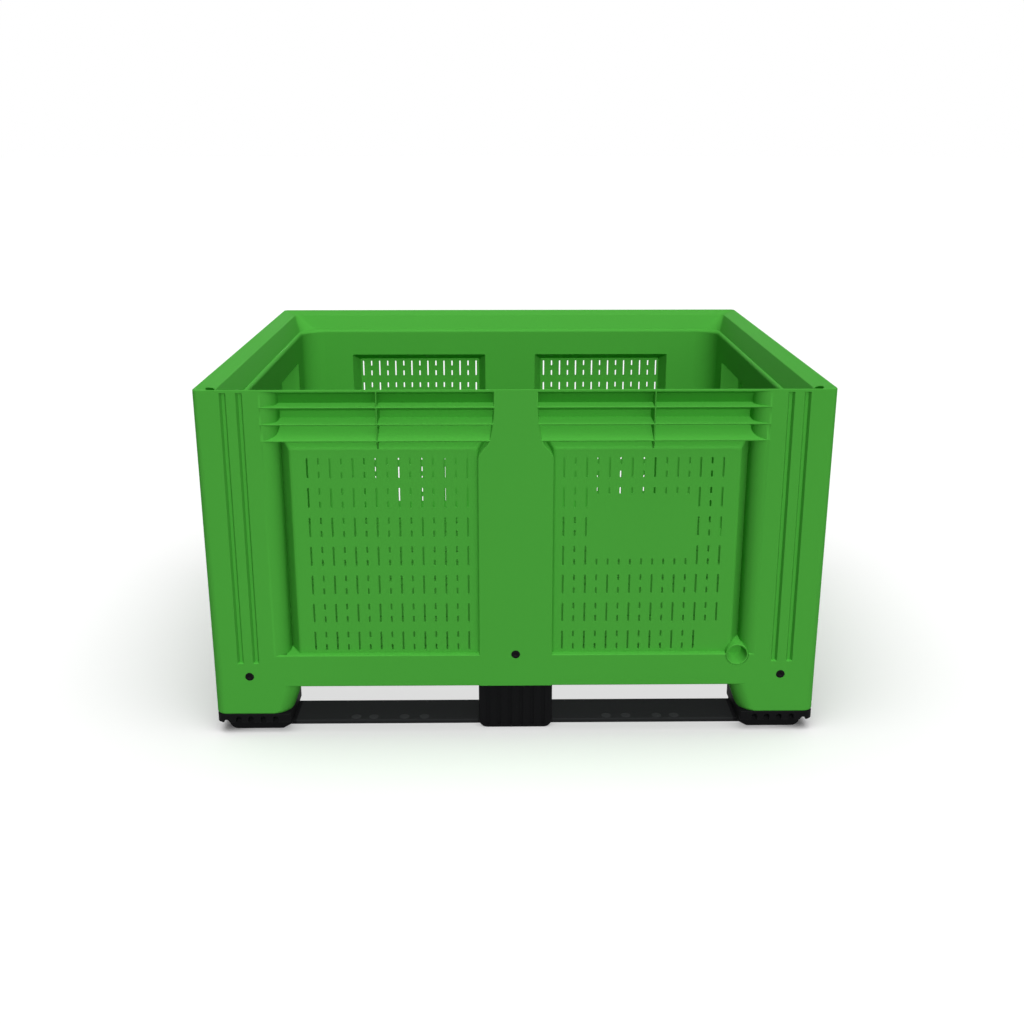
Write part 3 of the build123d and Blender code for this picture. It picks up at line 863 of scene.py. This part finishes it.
strips = [backing(wall, place) for wall in HALF_SPAN for place in GROOVE_PLACES]
combine(quarter, "UNION", strips)
cuts = [pin_hole("long", CORNER_PIN), pin_hole("long", COLUMN_PIN), pin_hole("short", COLUMN_PIN)]
for wall in HALF_SPAN:
    cuts.append(window(wall))
    cuts += [groove(wall, place) for place in GROOVE_PLACES]
combine(quarter, "DIFFERENCE", cuts)
describe(quarter)

# %% [markdown]
# ## The whole moulding
# The faces on the two cutting planes are deleted, the quarter is copied across each plane with
# its faces turned round, and the seams are merged. A limited dissolve then takes out the edges
# that booleans leave inside flat faces.

# %% Mirror the quarter
SEAM = 0.02
SAME_PLACE = 0.002
FLAT_ANGLE = 0.2

bm = bmesh.new()
bm.from_mesh(quarter.data)
bmesh.ops.remove_doubles(bm, verts=bm.verts, dist=SAME_PLACE)
for axis in (0, 1):
    seam_faces = [face for face in bm.faces if all(abs(v.co[axis]) < SEAM for v in face.verts)]
    bmesh.ops.delete(bm, geom=seam_faces, context="FACES")
    for vert in bm.verts:
        if abs(vert.co[axis]) < SEAM:
            vert.co[axis] = 0
    copied = bmesh.ops.duplicate(bm, geom=bm.verts[:] + bm.edges[:] + bm.faces[:])["geom"]
    for item in copied:
        if isinstance(item, bmesh.types.BMVert):
            item.co[axis] *= -1
    copied_faces = [item for item in copied if isinstance(item, bmesh.types.BMFace)]
    bmesh.ops.reverse_faces(bm, faces=copied_faces)
    bmesh.ops.remove_doubles(bm, verts=bm.verts, dist=SAME_PLACE)
bmesh.ops.dissolve_limit(bm, angle_limit=radians(FLAT_ANGLE), verts=bm.verts, edges=bm.edges)
moulding = new_piece("green_moulding", bm)
bpy.data.objects.remove(quarter)
describe(moulding)

# %% [markdown]
# ## Dimples
# Just behind the two front corners the photo shows a small dark dimple in the rim's land. Its
# bore leans back on the way down, so the wall that the camera sees looks down and stays dark.

# %% Dimples
DIMPLE_PLACE = (623.0, -536.0)
DIMPLE_HALF = (8.5, 14.0)
DIMPLE_LEVELS = (738.0, 770.0)
DIMPLE_STEPS = 24

dimples = []
for x_sign in (-1, 1):
    middle = Vector((x_sign * DIMPLE_PLACE[0], DIMPLE_PLACE[1]))
    spokes = [Vector((DIMPLE_HALF[0] * x, DIMPLE_HALF[1] * y)) for x, y in circle(1, DIMPLE_STEPS)]
    outline = [middle + spoke for spoke in spokes]
    loops = [[(x, y + RIM_TOP - z, z) for x, y in outline] for z in DIMPLE_LEVELS]
    dimples.append(loft("dimple", loops))
combine(moulding, "DIFFERENCE", dimples)
describe(moulding)

# %% [markdown]
# ## Vent slots with Geometry Nodes
# Every tray has a grid of upright slots: a column of long slots, then a column of pairs of short
# ones, and so on. One marked tray in each long wall leaves a bare field for a label and skips the
# slots next to the drain. Points, an index and a few masks say all of that. Each point gets a
# bar with rounded ends, and the bars are cut out of the moulding.


# %% Trees with named sizes
def start_tree(name, sizes):
    """Sketch of a new geometry tree, and a wire for each of its named sizes."""
    tree = bpy.data.node_groups.new(name, "GeometryNodeTree")
    tree.interface.new_socket("Geometry", in_out="OUTPUT", socket_type="NodeSocketGeometry")
    for size, value in sizes.items():
        kind = "NodeSocketInt" if isinstance(value, int) else "NodeSocketFloat"
        tree.interface.new_socket(size, in_out="INPUT", socket_type=kind).default_value = value
    sketch = Sketch(tree)
    inputs = sketch.node("NodeGroupInput").outputs
    return sketch, {size: Wire(sketch, sketch.socket(inputs, size)) for size in sizes}


def end_tree(sketch, parts, material):
    """Close a tree: join its instances, realize them and give them their material."""
    joined = sketch.wire("GeometryNodeJoinGeometry", {}, {"Geometry": parts})
    real = sketch.wire("GeometryNodeRealizeInstances", {}, {"Geometry": joined})
    painted = sketch.wire("GeometryNodeSetMaterial", {}, {"Geometry": real, "Material": material})
    sketch.node("NodeGroupOutput", {}, {"Geometry": painted})
    return sketch.tree


def grown(name, tree, sizes, matrix):
    """Plain mesh object from a geometry tree with some of its sizes set."""
    piece = bpy.data.objects.new(name, bpy.data.meshes.new(name))
    bpy.context.collection.objects.link(piece)
    grow = piece.modifiers.new(name, "NODES")
    grow.node_group = tree
    for item in tree.interface.items_tree:
        if item.in_out == "INPUT" and item.name in sizes:
            grow[item.identifier] = sizes[item.name]
    mesh = settled(piece)
    piece.modifiers.clear()
    mesh.transform(matrix)
    piece.data = mesh
    return piece


print("tree helpers ready")

# %% The slot tree
SLOT_SIZES = {
    "Columns": 15, "Rows": 7, "Column Pitch": 23.5, "Row Pitch": 63.9, "First Column": 99.5,
    "Top Row": 593.25, "Depth Middle": 16.5, "Depth": 20.0, "Width": 3.8, "Length": 43.5,
    "Short Length": 15.0, "Staggered": 1, "Label First Column": 0, "Label Last Column": -1,
    "Label First Row": 0, "Label Last Row": -1, "Drain Columns": 0,
}
BAR_SIDES = 8


def bar(sketch, size, length, shift):
    """Eight-sided bar, stretched to its length and moved up or down."""
    half_side = radians(180 / BAR_SIDES)
    radius = size["Width"] / (2 * cos(half_side))
    round_bar = sketch.wire(
        "GeometryNodeMeshCylinder",
        {"fill_type": "NGON"},
        {"Vertices": BAR_SIDES, "Radius": radius, "Depth": size["Depth"]},
    )
    turn = (radians(90), half_side, 0)
    turned = sketch.wire("GeometryNodeTransform", {}, {"Geometry": round_bar, "Rotation": turn})
    end = sketch.wire("GeometryNodeInputPosition").part("Z").sign()
    stretch = end * (length - size["Width"]) / 2 + shift
    offset = sketch.wire("ShaderNodeCombineXYZ", {}, {"Z": stretch})
    return sketch.wire("GeometryNodeSetPosition", {}, {"Geometry": turned, "Offset": offset})


def slot_tree():
    """Rows of upright bars with rounded ends, staggered and masked."""
    sketch, size = start_tree("slot_rows", SLOT_SIZES)
    index = sketch.wire("GeometryNodeInputIndex")
    row = ((index + 0.5) / size["Columns"]).rounded_down()
    column = index - row * size["Columns"]
    odd = (column % 2) * size["Staggered"]
    label = (column > size["Label First Column"] - 0.5) * (column < size["Label Last Column"] + 0.5)
    label = label * (row > size["Label First Row"] - 0.5) * (row < size["Label Last Row"] + 0.5)
    drain = (row > size["Rows"] - 1.5) * (column > size["Columns"] - size["Drain Columns"] - 0.5)
    plain = (1 - label) * (1 - drain)
    above_label = label * (row < size["Label First Row"] + 0.5)
    below_label = label * (row > size["Label Last Row"] - 0.5)
    place = sketch.wire(
        "ShaderNodeCombineXYZ",
        {},
        {
            "X": size["First Column"] + column * size["Column Pitch"],
            "Y": size["Depth Middle"],
            "Z": size["Top Row"] - row * size["Row Pitch"],
        },
    )
    points = sketch.wire("GeometryNodePoints", {}, {"Count": size["Columns"] * size["Rows"]})
    points = sketch.wire("GeometryNodeSetPosition", {}, {"Geometry": points, "Position": place})
    rise = (size["Length"] - size["Short Length"]) / 2
    parts = []
    for mask, length, shift in (
        (plain * (1 - odd), size["Length"], 0.0),
        (plain * odd + above_label, size["Short Length"], rise),
        (plain * odd + below_label, size["Short Length"], 0 - rise),
    ):
        one_bar = bar(sketch, size, length, shift)
        sockets = {"Points": points, "Selection": mask > 0.5, "Instance": one_bar}
        parts.append(sketch.wire("GeometryNodeInstanceOnPoints", {}, sockets))
    return end_tree(sketch, parts, GREEN)


SLOT_ROWS = slot_tree()
print("slot tree", len(SLOT_ROWS.nodes), "nodes")

# %% [markdown]
# ## Cutting the slots
# The tree's inputs are set by their identifiers before the object is first looked at, and the
# result is turned into a plain mesh. `Matrix` then stands it in its wall. The front right and the
# rear left tray are the marked ones. The rear wall's slots sit a little closer together, so that
# the white of the background shows through the same slots as in the photo.

# %% Cut the slots
FRONT_SLOTS = {"First Column": 99.5, "Column Pitch": 23.5}
SIDE_SLOTS = {"Columns": 11, "First Column": 109.0, "Column Pitch": 23.5}
REAR_SLOTS = {"First Column": 98.4, "Column Pitch": 23.4}
MARKED_SLOTS = {
    "Label First Column": 3, "Label Last Column": 11, "Label First Row": 1, "Label Last Row": 3,
    "Drain Columns": 2,
}


def wall_matrix(number):
    """Stands along, inset and height in a wall: 0 is front, 1 right, 2 rear and 3 left."""
    face = HALF_LENGTH if number % 2 else HALF_WIDTH
    return Matrix.Rotation(radians(90 * number), 4, "Z") @ Matrix.Translation((0, -face, 0))


slot_bars = []
for number, wall_slots in enumerate((FRONT_SLOTS, SIDE_SLOTS, REAR_SLOTS, SIDE_SLOTS)):
    for hand in (1, -1):
        handed = {size: wall_slots[size] * hand for size in ("First Column", "Column Pitch")}
        sizes = wall_slots | handed
        if number % 2 == 0 and hand == 1:
            sizes |= MARKED_SLOTS
        slot_bars.append(grown("slot_bars", SLOT_ROWS, sizes, wall_matrix(number)))
print("slots", sum(len(bars.data.vertices) // (2 * BAR_SIDES) for bars in slot_bars))
combine(moulding, "DIFFERENCE", slot_bars)
describe(moulding)

# %% [markdown]
# ## Finishing a piece
# A finished piece is in metres, has its material and is shaded smooth with sharp edges kept.
# Weighted normals make large flat faces look flat right up to their round edges.

# %% Finish a piece
MILLIMETRE = 0.001
SHARP_ANGLE = 38.0


def finish_piece(piece, material, nodes):
    mesh = piece.data
    mesh.transform(Matrix.Scale(MILLIMETRE, 4))
    mesh.materials.clear()
    mesh.materials.append(material)
    mesh.polygons.foreach_set("material_index", [0] * len(mesh.polygons))
    mesh.polygons.foreach_set("use_smooth", [True] * len(mesh.polygons))
    mesh.set_sharp_from_angle(angle=radians(SHARP_ANGLE))
    even = piece.modifiers.new("even_shading", "WEIGHTED_NORMAL")
    even.keep_sharp = True
    piece.data = settled(piece)
    piece.modifiers.clear()
    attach(piece, "root")
    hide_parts(*nodes)
    print("finished", piece.name, "for", len(nodes), "nodes,", len(piece.data.polygons), "faces")


print("edges over", SHARP_ANGLE, "degrees stay sharp")

# %% [markdown]
# ## Drain bosses
# A short tube is moulded into the bottom rail of each long wall, shut at its inner end. Its front
# is flush with the rail, and a thin gap around it reads as a dark ring. A lathe profile turned
# around its axis gives the rounded mouth. With its holes cut, the moulding is finished too.

# %% Drain bosses
DRAIN = (476.0, 179.5)
DRAIN_HOLE = (25.0, -4.0, 56.0)
# Radius and inset
BOSS_PROFILE = (
    (0, 40), (14.5, 40), (15.5, 39.4), (16.0, 38), (20.6, 1.6), (21.3, 0.5), (22.2, 0.2),
    (23.4, 0.3), (24.1, 0.9), (24.4, 2.0), (24.4, 60), (0, 60),
)
BOSS_STEPS = 48
GREEN_PARTS = ("rim_", "header_", "column_", "bottom_rail_", "vent_panel_", "corner_post_")


def turned(name, place, profile, steps):
    """Turned solid: a profile of radius and inset around a place."""
    bm = bmesh.new()
    rows = []
    for radius, inset in profile:
        ring = circle(radius, steps) if radius else [(0, 0)]
        rows.append([bm.verts.new((place[0] + x, inset, place[1] + z)) for x, z in ring])
    for low, high in zip(rows, rows[1:]):
        for one in range(steps):
            two = (one + 1) % steps
            near = [low[one % len(low)], low[two % len(low)]]
            far = [high[two % len(high)], high[one % len(high)]]
            bm.faces.new(list(dict.fromkeys(near + far)))
    bmesh.ops.recalc_face_normals(bm, faces=bm.faces)
    return new_piece(name, bm)


def lathe(name, place, profile, number, steps):
    """Turned solid with its axis through a wall."""
    piece = turned(name, place, profile, steps)
    piece.data.transform(wall_matrix(number))
    return piece


def drill(radius, start, end):
    """Profile of a plain round hole."""
    return ((0, start), (radius, start), (radius, end), (0, end))


holes = [
    lathe("drain_hole", DRAIN, drill(*DRAIN_HOLE), number, BOSS_STEPS) for number in (0, 2)
]
combine(moulding, "DIFFERENCE", holes)
describe(moulding)
for number, name in ((0, "front"), (2, "rear")):
    boss = lathe("boss_" + name, DRAIN, BOSS_PROFILE, number, BOSS_STEPS)
    finish_piece(boss, GREEN, ["drain_boss_" + name])
green_nodes = [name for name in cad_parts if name.startswith(GREEN_PARTS)]
finish_piece(moulding, GREEN, green_nodes)

# %% [markdown]
# ## Floor deck
# The floor is a plate with drain slots over a grid of ribs. It starts as a solid block with the
# box's plan. A second small tree lays out the cells between the ribs, and the slot tree is used
# again, lying flat, for the drain slots.

# %% The cell tree
CELL_SIZES = {
    "Columns": 10, "Rows": 8, "Column Pitch": 117.8, "Row Pitch": 128.5,
    "Length": 113.8, "Width": 124.5, "Height": 54.0, "Middle": 127.0,
}


def cell_tree():
    """Grid of plain blocks."""
    sketch, size = start_tree("rib_cells", CELL_SIZES)
    grid = sketch.wire(
        "GeometryNodeMeshGrid",
        {},
        {
            "Size X": (size["Columns"] - 1) * size["Column Pitch"],
            "Size Y": (size["Rows"] - 1) * size["Row Pitch"],
            "Vertices X": size["Columns"],
            "Vertices Y": size["Rows"],
        },
    )
    block_size = sketch.wire(
        "ShaderNodeCombineXYZ", {}, {"X": size["Length"], "Y": size["Width"], "Z": size["Height"]}
    )
    block = sketch.wire("GeometryNodeMeshCube", {}, {"Size": block_size})
    lift = sketch.wire("ShaderNodeCombineXYZ", {}, {"Z": size["Middle"]})
    block = sketch.wire("GeometryNodeTransform", {}, {"Geometry": block, "Translation": lift})
    blocks = sketch.wire("GeometryNodeInstanceOnPoints", {}, {"Points": grid, "Instance": block})
    return end_tree(sketch, [blocks], GREEN)


RIB_CELLS = cell_tree()
print("cell tree", len(RIB_CELLS.nodes), "nodes")

# %% Floor deck
DECK_SLOTS = {
    "Columns": CELL_SIZES["Rows"], "Column Pitch": CELL_SIZES["Row Pitch"],
    "Rows": CELL_SIZES["Columns"], "Row Pitch": CELL_SIZES["Column Pitch"],
    "Top Row": CELL_SIZES["Column Pitch"] * (CELL_SIZES["Columns"] - 1) / 2,
    "Depth Middle": DECK_TOP, "Depth": 16.0, "Width": 7.0, "Length": 70.0, "Staggered": 0,
}
DECK_SLOT_OFFSET = 22.5
LYING = Matrix(((0, 0, 1, 0), (1, 0, 0, 0), (0, 1, 0, 0), (0, 0, 0, 1)))
CORNER_ROOM = 188.5
CORNER_ROOM_BOTTOM = 100.0
# Inset, height and corner radius
DECK_LEVELS = (
    (LINER_INSET, RAIL_BOTTOM, LINER_RADIUS), (LINER_INSET, DECK_BOTTOM - 0.5, LINER_RADIUS),
    (CAVITY_INSET, DECK_BOTTOM, CAVITY_RADIUS), (CAVITY_INSET, DECK_TOP, CAVITY_RADIUS),
)

loops = []
for inset, height, radius in DECK_LEVELS:
    x, y = HALF_LENGTH - inset, HALF_WIDTH - inset
    loops.append(laid(rectangle(-x, x, -y, y, radius, CORNER_STEPS), height))
deck = loft("floor", loops)
deck_cuts = [grown("cells", RIB_CELLS, {}, Matrix())]
middle_of_row = CELL_SIZES["Row Pitch"] * (CELL_SIZES["Rows"] - 1) / 2
for offset in (-DECK_SLOT_OFFSET, DECK_SLOT_OFFSET):
    sizes = DECK_SLOTS | {"First Column": offset - middle_of_row}
    deck_cuts.append(grown("deck_slots", SLOT_ROWS, sizes, LYING))
for x_sign in (-1, 1):
    for y_sign in (-1, 1):
        near_x, far_x = x_sign * (HALF_LENGTH - CORNER_ROOM), x_sign * HALF_LENGTH
        near_y, far_y = y_sign * (HALF_WIDTH - CORNER_ROOM), y_sign * HALF_WIDTH
        room = rectangle(near_x, far_x, near_y, far_y)
        loops = [laid(room, z) for z in (CORNER_ROOM_BOTTOM, DECK_BOTTOM)]
        deck_cuts.append(loft("corner_room", loops))
combine(deck, "DIFFERENCE", deck_cuts)
describe(deck)
finish_piece(deck, GREEN, ["floor_deck"])
leave_out(walls_only, deck)

# %% [markdown]
# ## Skids
# Three black skids carry the box: a flat board with blocks on it. The front and rear skid end in
# feet with a flange under each leg, and a tongue that plugs up into the leg. The middle blocks
# plug into the columns. The undersides are hollowed out into pockets, as on any thick moulding.

# %% Skid blocks and boards
SKID_NEAR = 21.0
SKID_FAR = 161.0
SKID_EDGE = 3.0
SKID_WALL = 8.0
FOOT_ROUND = 18.0
FOOT_TOE = (20.0, 11.0)
TOE_ROUNDS = (6.0, 12.0)
BOARD_HALF_WIDTH = 50.0
BOARD_TOP = 10.0
BOARD_ROUNDS = (2.0, 3.0)
POCKET_START = -5.0
POCKET_CORNER = 3.0


def skid_block(name, middle, half, near, far, top, toe=0):
    """Block with round lower corners and edges, and a sloping toe on its left (-1) or right (1)."""
    loops = []
    for y, shrink in round_ends(near, SKID_EDGE, far, SKID_EDGE):
        left, right = middle - half + shrink, middle + half - shrink
        lower = {-1: [(left, shrink, FOOT_ROUND)], 1: [(right, shrink, FOOT_ROUND)]}
        if toe:
            end = (left, right)[toe > 0]
            slope = [
                (end, shrink + FOOT_TOE[1], TOE_ROUNDS[0]),
                (end - toe * FOOT_TOE[0], shrink, TOE_ROUNDS[1]),
            ]
            lower[toe] = slope[::-toe]
        corners = lower[-1] + lower[1] + [(right, top, 0), (left, top, 0)]
        loops.append([(x, y, z) for x, z in rounded(corners, 6)])
    return loft(name, loops)


def board(name, half, middle_y):
    """Flat board with round long edges."""
    near, far = middle_y - BOARD_HALF_WIDTH, middle_y + BOARD_HALF_WIDTH
    low_round, top_round = BOARD_ROUNDS
    corners = [
        (near, 0, low_round), (far, 0, low_round),
        (far, BOARD_TOP, top_round), (near, BOARD_TOP, top_round),
    ]
    outline = rounded(corners, 3)
    return loft(name, [[(x, y, z) for y, z in outline] for x in (-half, half)])


def box_solid(name, x_ends, y_ends, z_ends, radius):
    """Upright block with its four upright edges rounded."""
    outline = rectangle(*sorted(x_ends), *y_ends, radius)
    return loft(name, [laid(outline, z) for z in z_ends])


def pockets(middle_x, middle_y, size_x, size_y, top):
    """Four hollows in the underside of a block, with ribs between them."""
    half_x, half_y = (size_x - SKID_WALL) / 4, (size_y - SKID_WALL) / 4
    hollows = []
    for x_sign in (-1, 1):
        for y_sign in (-1, 1):
            x = middle_x + x_sign * (size_x + SKID_WALL) / 4
            y = middle_y + y_sign * (size_y + SKID_WALL) / 4
            x_ends, y_ends = (x - half_x, x + half_x), (y - half_y, y + half_y)
            hollows.append(box_solid("pocket", x_ends, y_ends, (POCKET_START, top), POCKET_CORNER))
    return hollows


print("skid helpers ready")

# %% [markdown]
# ## Details of the skids
# A flange lies between each leg and its foot. Small round marks are moulded on the boards, and
# each tongue has a hole for its lock pin. The flutes of the middle block and the notches in the
# flange are rows of bars again, so the slot tree makes them with other sizes.

# %% Details of the skids
LEG_BOTTOM = 45.0
FLANGE_BOTTOM = 25.0
FLANGE_INSETS = (1.5, 160.0)
FLANGE_CORNERS = (16.0, 3.0)
# Height and shrink
FLANGE_LEVELS = (
    (FLANGE_BOTTOM, 1.5), (FLANGE_BOTTOM + 1.5, 0.0), (LEG_BOTTOM - 1.0, 0.0), (LEG_BOTTOM, 1.0),
)
FLUTES = {
    "Columns": 6, "Rows": 1, "Column Pitch": 24.0, "First Column": -60.0, "Top Row": 55.0,
    "Depth Middle": SKID_NEAR, "Depth": 8.0, "Width": 9.0, "Length": 98.0, "Staggered": 0,
}
NOTCHES = {
    "Columns": 4, "Rows": 1, "Top Row": 31.0, "Depth Middle": 0.0,
    "Depth": 64.0, "Width": 12.0, "Length": 17.0, "Staggered": 0,
}
END_NOTCH = {"Columns": 1, "Top Row": 25.0, "Length": 13.0}
NOTCH_PITCH = 26.8
FIRST_NOTCH = 521.4
MARK_PLACES = (202.0, 246.0, 314.0, 353.0)
MARK_PROFILE = ((0, 1.4), (8.5, 1.4), (10.5, 1.1), (11.8, 0.2), (11.8, -2), (0, -2))
MARK_STEPS = 20
UPWARDS = Matrix(((1, 0, 0, 0), (0, 0, 1, 0), (0, 1, 0, 0), (0, 0, 0, 1)))
PIN_LENGTH = 32.0
PIN_ROOM = (9.5, -1.0, PIN_LENGTH)


def flange(x_sign):
    """Plate between a leg and its foot, with round edges."""
    outer, inner = (HALF_LENGTH - inset for inset in FLANGE_INSETS)
    front_round, back_round = FLANGE_CORNERS
    loops = []
    for height, shrink in FLANGE_LEVELS:
        corners = [
            (x_sign * (outer - shrink), shrink, front_round),
            (x_sign * inner, shrink, back_round),
            (x_sign * inner, SKID_FAR, back_round),
            (x_sign * (outer - shrink), SKID_FAR, back_round),
        ]
        loops.append(laid(rounded(corners), height))
    return loft("flange", loops)


def marks(middle_y):
    """Small round marks moulded on top of a board."""
    spots = []
    for place in MARK_PLACES:
        for x_sign in (-1, 1):
            spot = turned("mark", (0, 0), MARK_PROFILE, MARK_STEPS)
            here = Matrix.Translation((x_sign * place, middle_y, BOARD_TOP))
            spot.data.transform(here @ UPWARDS)
            spot.data.flip_normals()
            spots.append(spot)
    return spots


def notches(x_sign):
    """Bars for the row of notches in one flange and the shallower one at its end."""
    row = NOTCHES | {"First Column": x_sign * FIRST_NOTCH, "Column Pitch": x_sign * NOTCH_PITCH}
    last = x_sign * (FIRST_NOTCH + NOTCHES["Columns"] * NOTCH_PITCH)
    end_row = row | END_NOTCH | {"First Column": last}
    return [
        grown("notches", SLOT_ROWS, row, Matrix()),
        grown("end_notch", SLOT_ROWS, end_row, Matrix()),
    ]


def pin_room(place, number):
    """Hole in a tongue that a lock pin goes into."""
    return lathe("pin_room", place, drill(*PIN_ROOM), number, BOSS_STEPS)


print("skid details ready")

# %% [markdown]
# ## Front and rear skid
# The front skid is joined from its blocks, then the pockets, pin holes, flutes and notches are
# cut. The rear skid is the same mesh turned half round.

# %% Front and rear skid
FOOT_MIDDLE = 558.5
FOOT_HALF = 68.5
MIDDLE_BLOCK_HALF = 80.0
INNER_BLOCK = (64.0, 156.5)
INNER_BLOCK_BOTTOM = 2.0
INNER_BLOCK_CORNER = 5.0
TONGUE = (6.5, 141.5)
TONGUE_TOP = 150.0
TONGUE_CORNER = 27.5
COLUMN_TONGUE = (TONGUE[0], LINER_INSET - 1.5)
COLUMN_TONGUE_HALF = 36.0
COLUMN_TONGUE_TOP = 205.0
COLUMN_TONGUE_CORNER = 2.0
OVERLAP = 1.0
MARK_SHIFT = 37.0

middle_y = (SKID_NEAR + SKID_FAR) / 2
width = SKID_FAR - SKID_NEAR - 2 * SKID_WALL
pocket_top = RAIL_BOTTOM - SKID_WALL
foot_top = LEG_BOTTOM - OVERLAP
tongue_sides = (-COLUMN_TONGUE_HALF, COLUMN_TONGUE_HALF)
tongue_rise = (RAIL_BOTTOM - OVERLAP, COLUMN_TONGUE_TOP)
front_skid = board("skid_at_front", FOOT_MIDDLE, middle_y)
joined = marks(middle_y - MARK_SHIFT)
joined.append(skid_block("middle_block", 0, MIDDLE_BLOCK_HALF, SKID_NEAR, SKID_FAR, RAIL_BOTTOM))
joined.append(
    box_solid("column_tongue", tongue_sides, COLUMN_TONGUE, tongue_rise, COLUMN_TONGUE_CORNER)
)
cuts = pockets(0, middle_y, 2 * MIDDLE_BLOCK_HALF - 2 * SKID_WALL, width, pocket_top)
cuts.append(grown("flutes", SLOT_ROWS, FLUTES, Matrix()))
hollow = (TONGUE[1] + PIN_LENGTH) / 2
hollow_size = TONGUE[1] - PIN_LENGTH - 2 * SKID_WALL
for x_sign in (-1, 1):
    foot = x_sign * FOOT_MIDDLE
    joined.append(skid_block("foot", foot, FOOT_HALF, SKID_NEAR, SKID_FAR, foot_top, -x_sign))
    joined.append(flange(x_sign))
    ends = [x_sign * (HALF_LENGTH - inset) for inset in TONGUE]
    joined.append(box_solid("tongue", ends, TONGUE, (foot_top, TONGUE_TOP), TONGUE_CORNER))
    ends = [x_sign * (HALF_LENGTH - inset) for inset in INNER_BLOCK]
    rise = (INNER_BLOCK_BOTTOM, RAIL_BOTTOM)
    joined.append(
        box_solid("inner_block", ends, (CAVITY_INSET, SKID_FAR), rise, INNER_BLOCK_CORNER)
    )
    cuts += notches(x_sign)
    hollow_x = x_sign * (HALF_LENGTH - hollow)
    cuts += pockets(hollow_x, hollow, hollow_size, hollow_size, TONGUE_TOP - SKID_WALL)
combine(front_skid, "UNION", joined)
describe(front_skid)
combine(front_skid, "DIFFERENCE", cuts)
front_skid.data.transform(wall_matrix(0))
pin_places = [(-CORNER_PIN[0], CORNER_PIN[1]), CORNER_PIN, COLUMN_PIN]
combine(front_skid, "DIFFERENCE", [pin_room(place, 0) for place in pin_places])
describe(front_skid)
rear_skid = bpy.data.objects.new("skid_at_rear", front_skid.data.copy())
rear_skid.data.transform(Matrix.Rotation(radians(180), 4, "Z"))
bpy.context.collection.objects.link(rear_skid)
finish_piece(front_skid, BLACK, ["skid_front"])
finish_piece(rear_skid, BLACK, ["skid_rear"])

# %% [markdown]
# ## Middle skid
# The middle skid runs under the floor from short wall to short wall, with an end block and a
# tongue under each of their columns.

# %% Middle skid
END_BLOCK_MIDDLE = 558.5
END_BLOCK_HALF = 70.5

half_skid = (SKID_FAR - SKID_NEAR) / 2
middle_skid = board("skid_at_middle", END_BLOCK_MIDDLE, 0)
joined = marks(0)
joined.append(skid_block("middle_block", 0, MIDDLE_BLOCK_HALF, -half_skid, half_skid, RAIL_BOTTOM))
cuts = pockets(0, 0, 2 * MIDDLE_BLOCK_HALF - 2 * SKID_WALL, width, pocket_top)
for x_sign, number in ((1, 1), (-1, 3)):
    end = x_sign * END_BLOCK_MIDDLE
    joined.append(skid_block("end_block", end, END_BLOCK_HALF, -half_skid, half_skid, RAIL_BOTTOM))
    ends = [x_sign * (HALF_LENGTH - inset) for inset in COLUMN_TONGUE]
    joined.append(box_solid("tongue", ends, tongue_sides, tongue_rise, COLUMN_TONGUE_CORNER))
    cuts += pockets(end, 0, 2 * END_BLOCK_HALF - 2 * SKID_WALL, width, pocket_top)
    cuts.append(pin_room(COLUMN_PIN, number))
combine(middle_skid, "UNION", joined)
combine(middle_skid, "DIFFERENCE", cuts)
describe(middle_skid)
finish_piece(middle_skid, BLACK, ["skid_middle"])

# %% [markdown]
# ## Lock pins
# Eight round pins hold the skids: one through each leg in the long walls and one through each
# column. Their heads are flush with the wall and have a small dimple from moulding.

# %% Lock pins
# Radius and inset
PIN_PROFILE = (
    (0, 2.0), (2.6, 1.9), (3.6, 1.3), (4.2, 0.5), (5.0, 0.2), (8.1, 0.2), (8.9, 0.5),
    (9.3, 1.2), (9.3, PIN_LENGTH), (0, PIN_LENGTH),
)
PINS = (
    ("front_left", 0, (-CORNER_PIN[0], CORNER_PIN[1])), ("front_middle", 0, COLUMN_PIN),
    ("front_right", 0, CORNER_PIN), ("right_middle", 1, COLUMN_PIN),
    ("rear_right", 2, (-CORNER_PIN[0], CORNER_PIN[1])), ("rear_middle", 2, COLUMN_PIN),
    ("rear_left", 2, CORNER_PIN), ("left_middle", 3, COLUMN_PIN),
)
for name, number, place in PINS:
    pin = lathe("lock_pin_" + name, place, PIN_PROFILE, number, PIN_STEPS)
    finish_piece(pin, PIN_BLACK, ["pin_" + name])
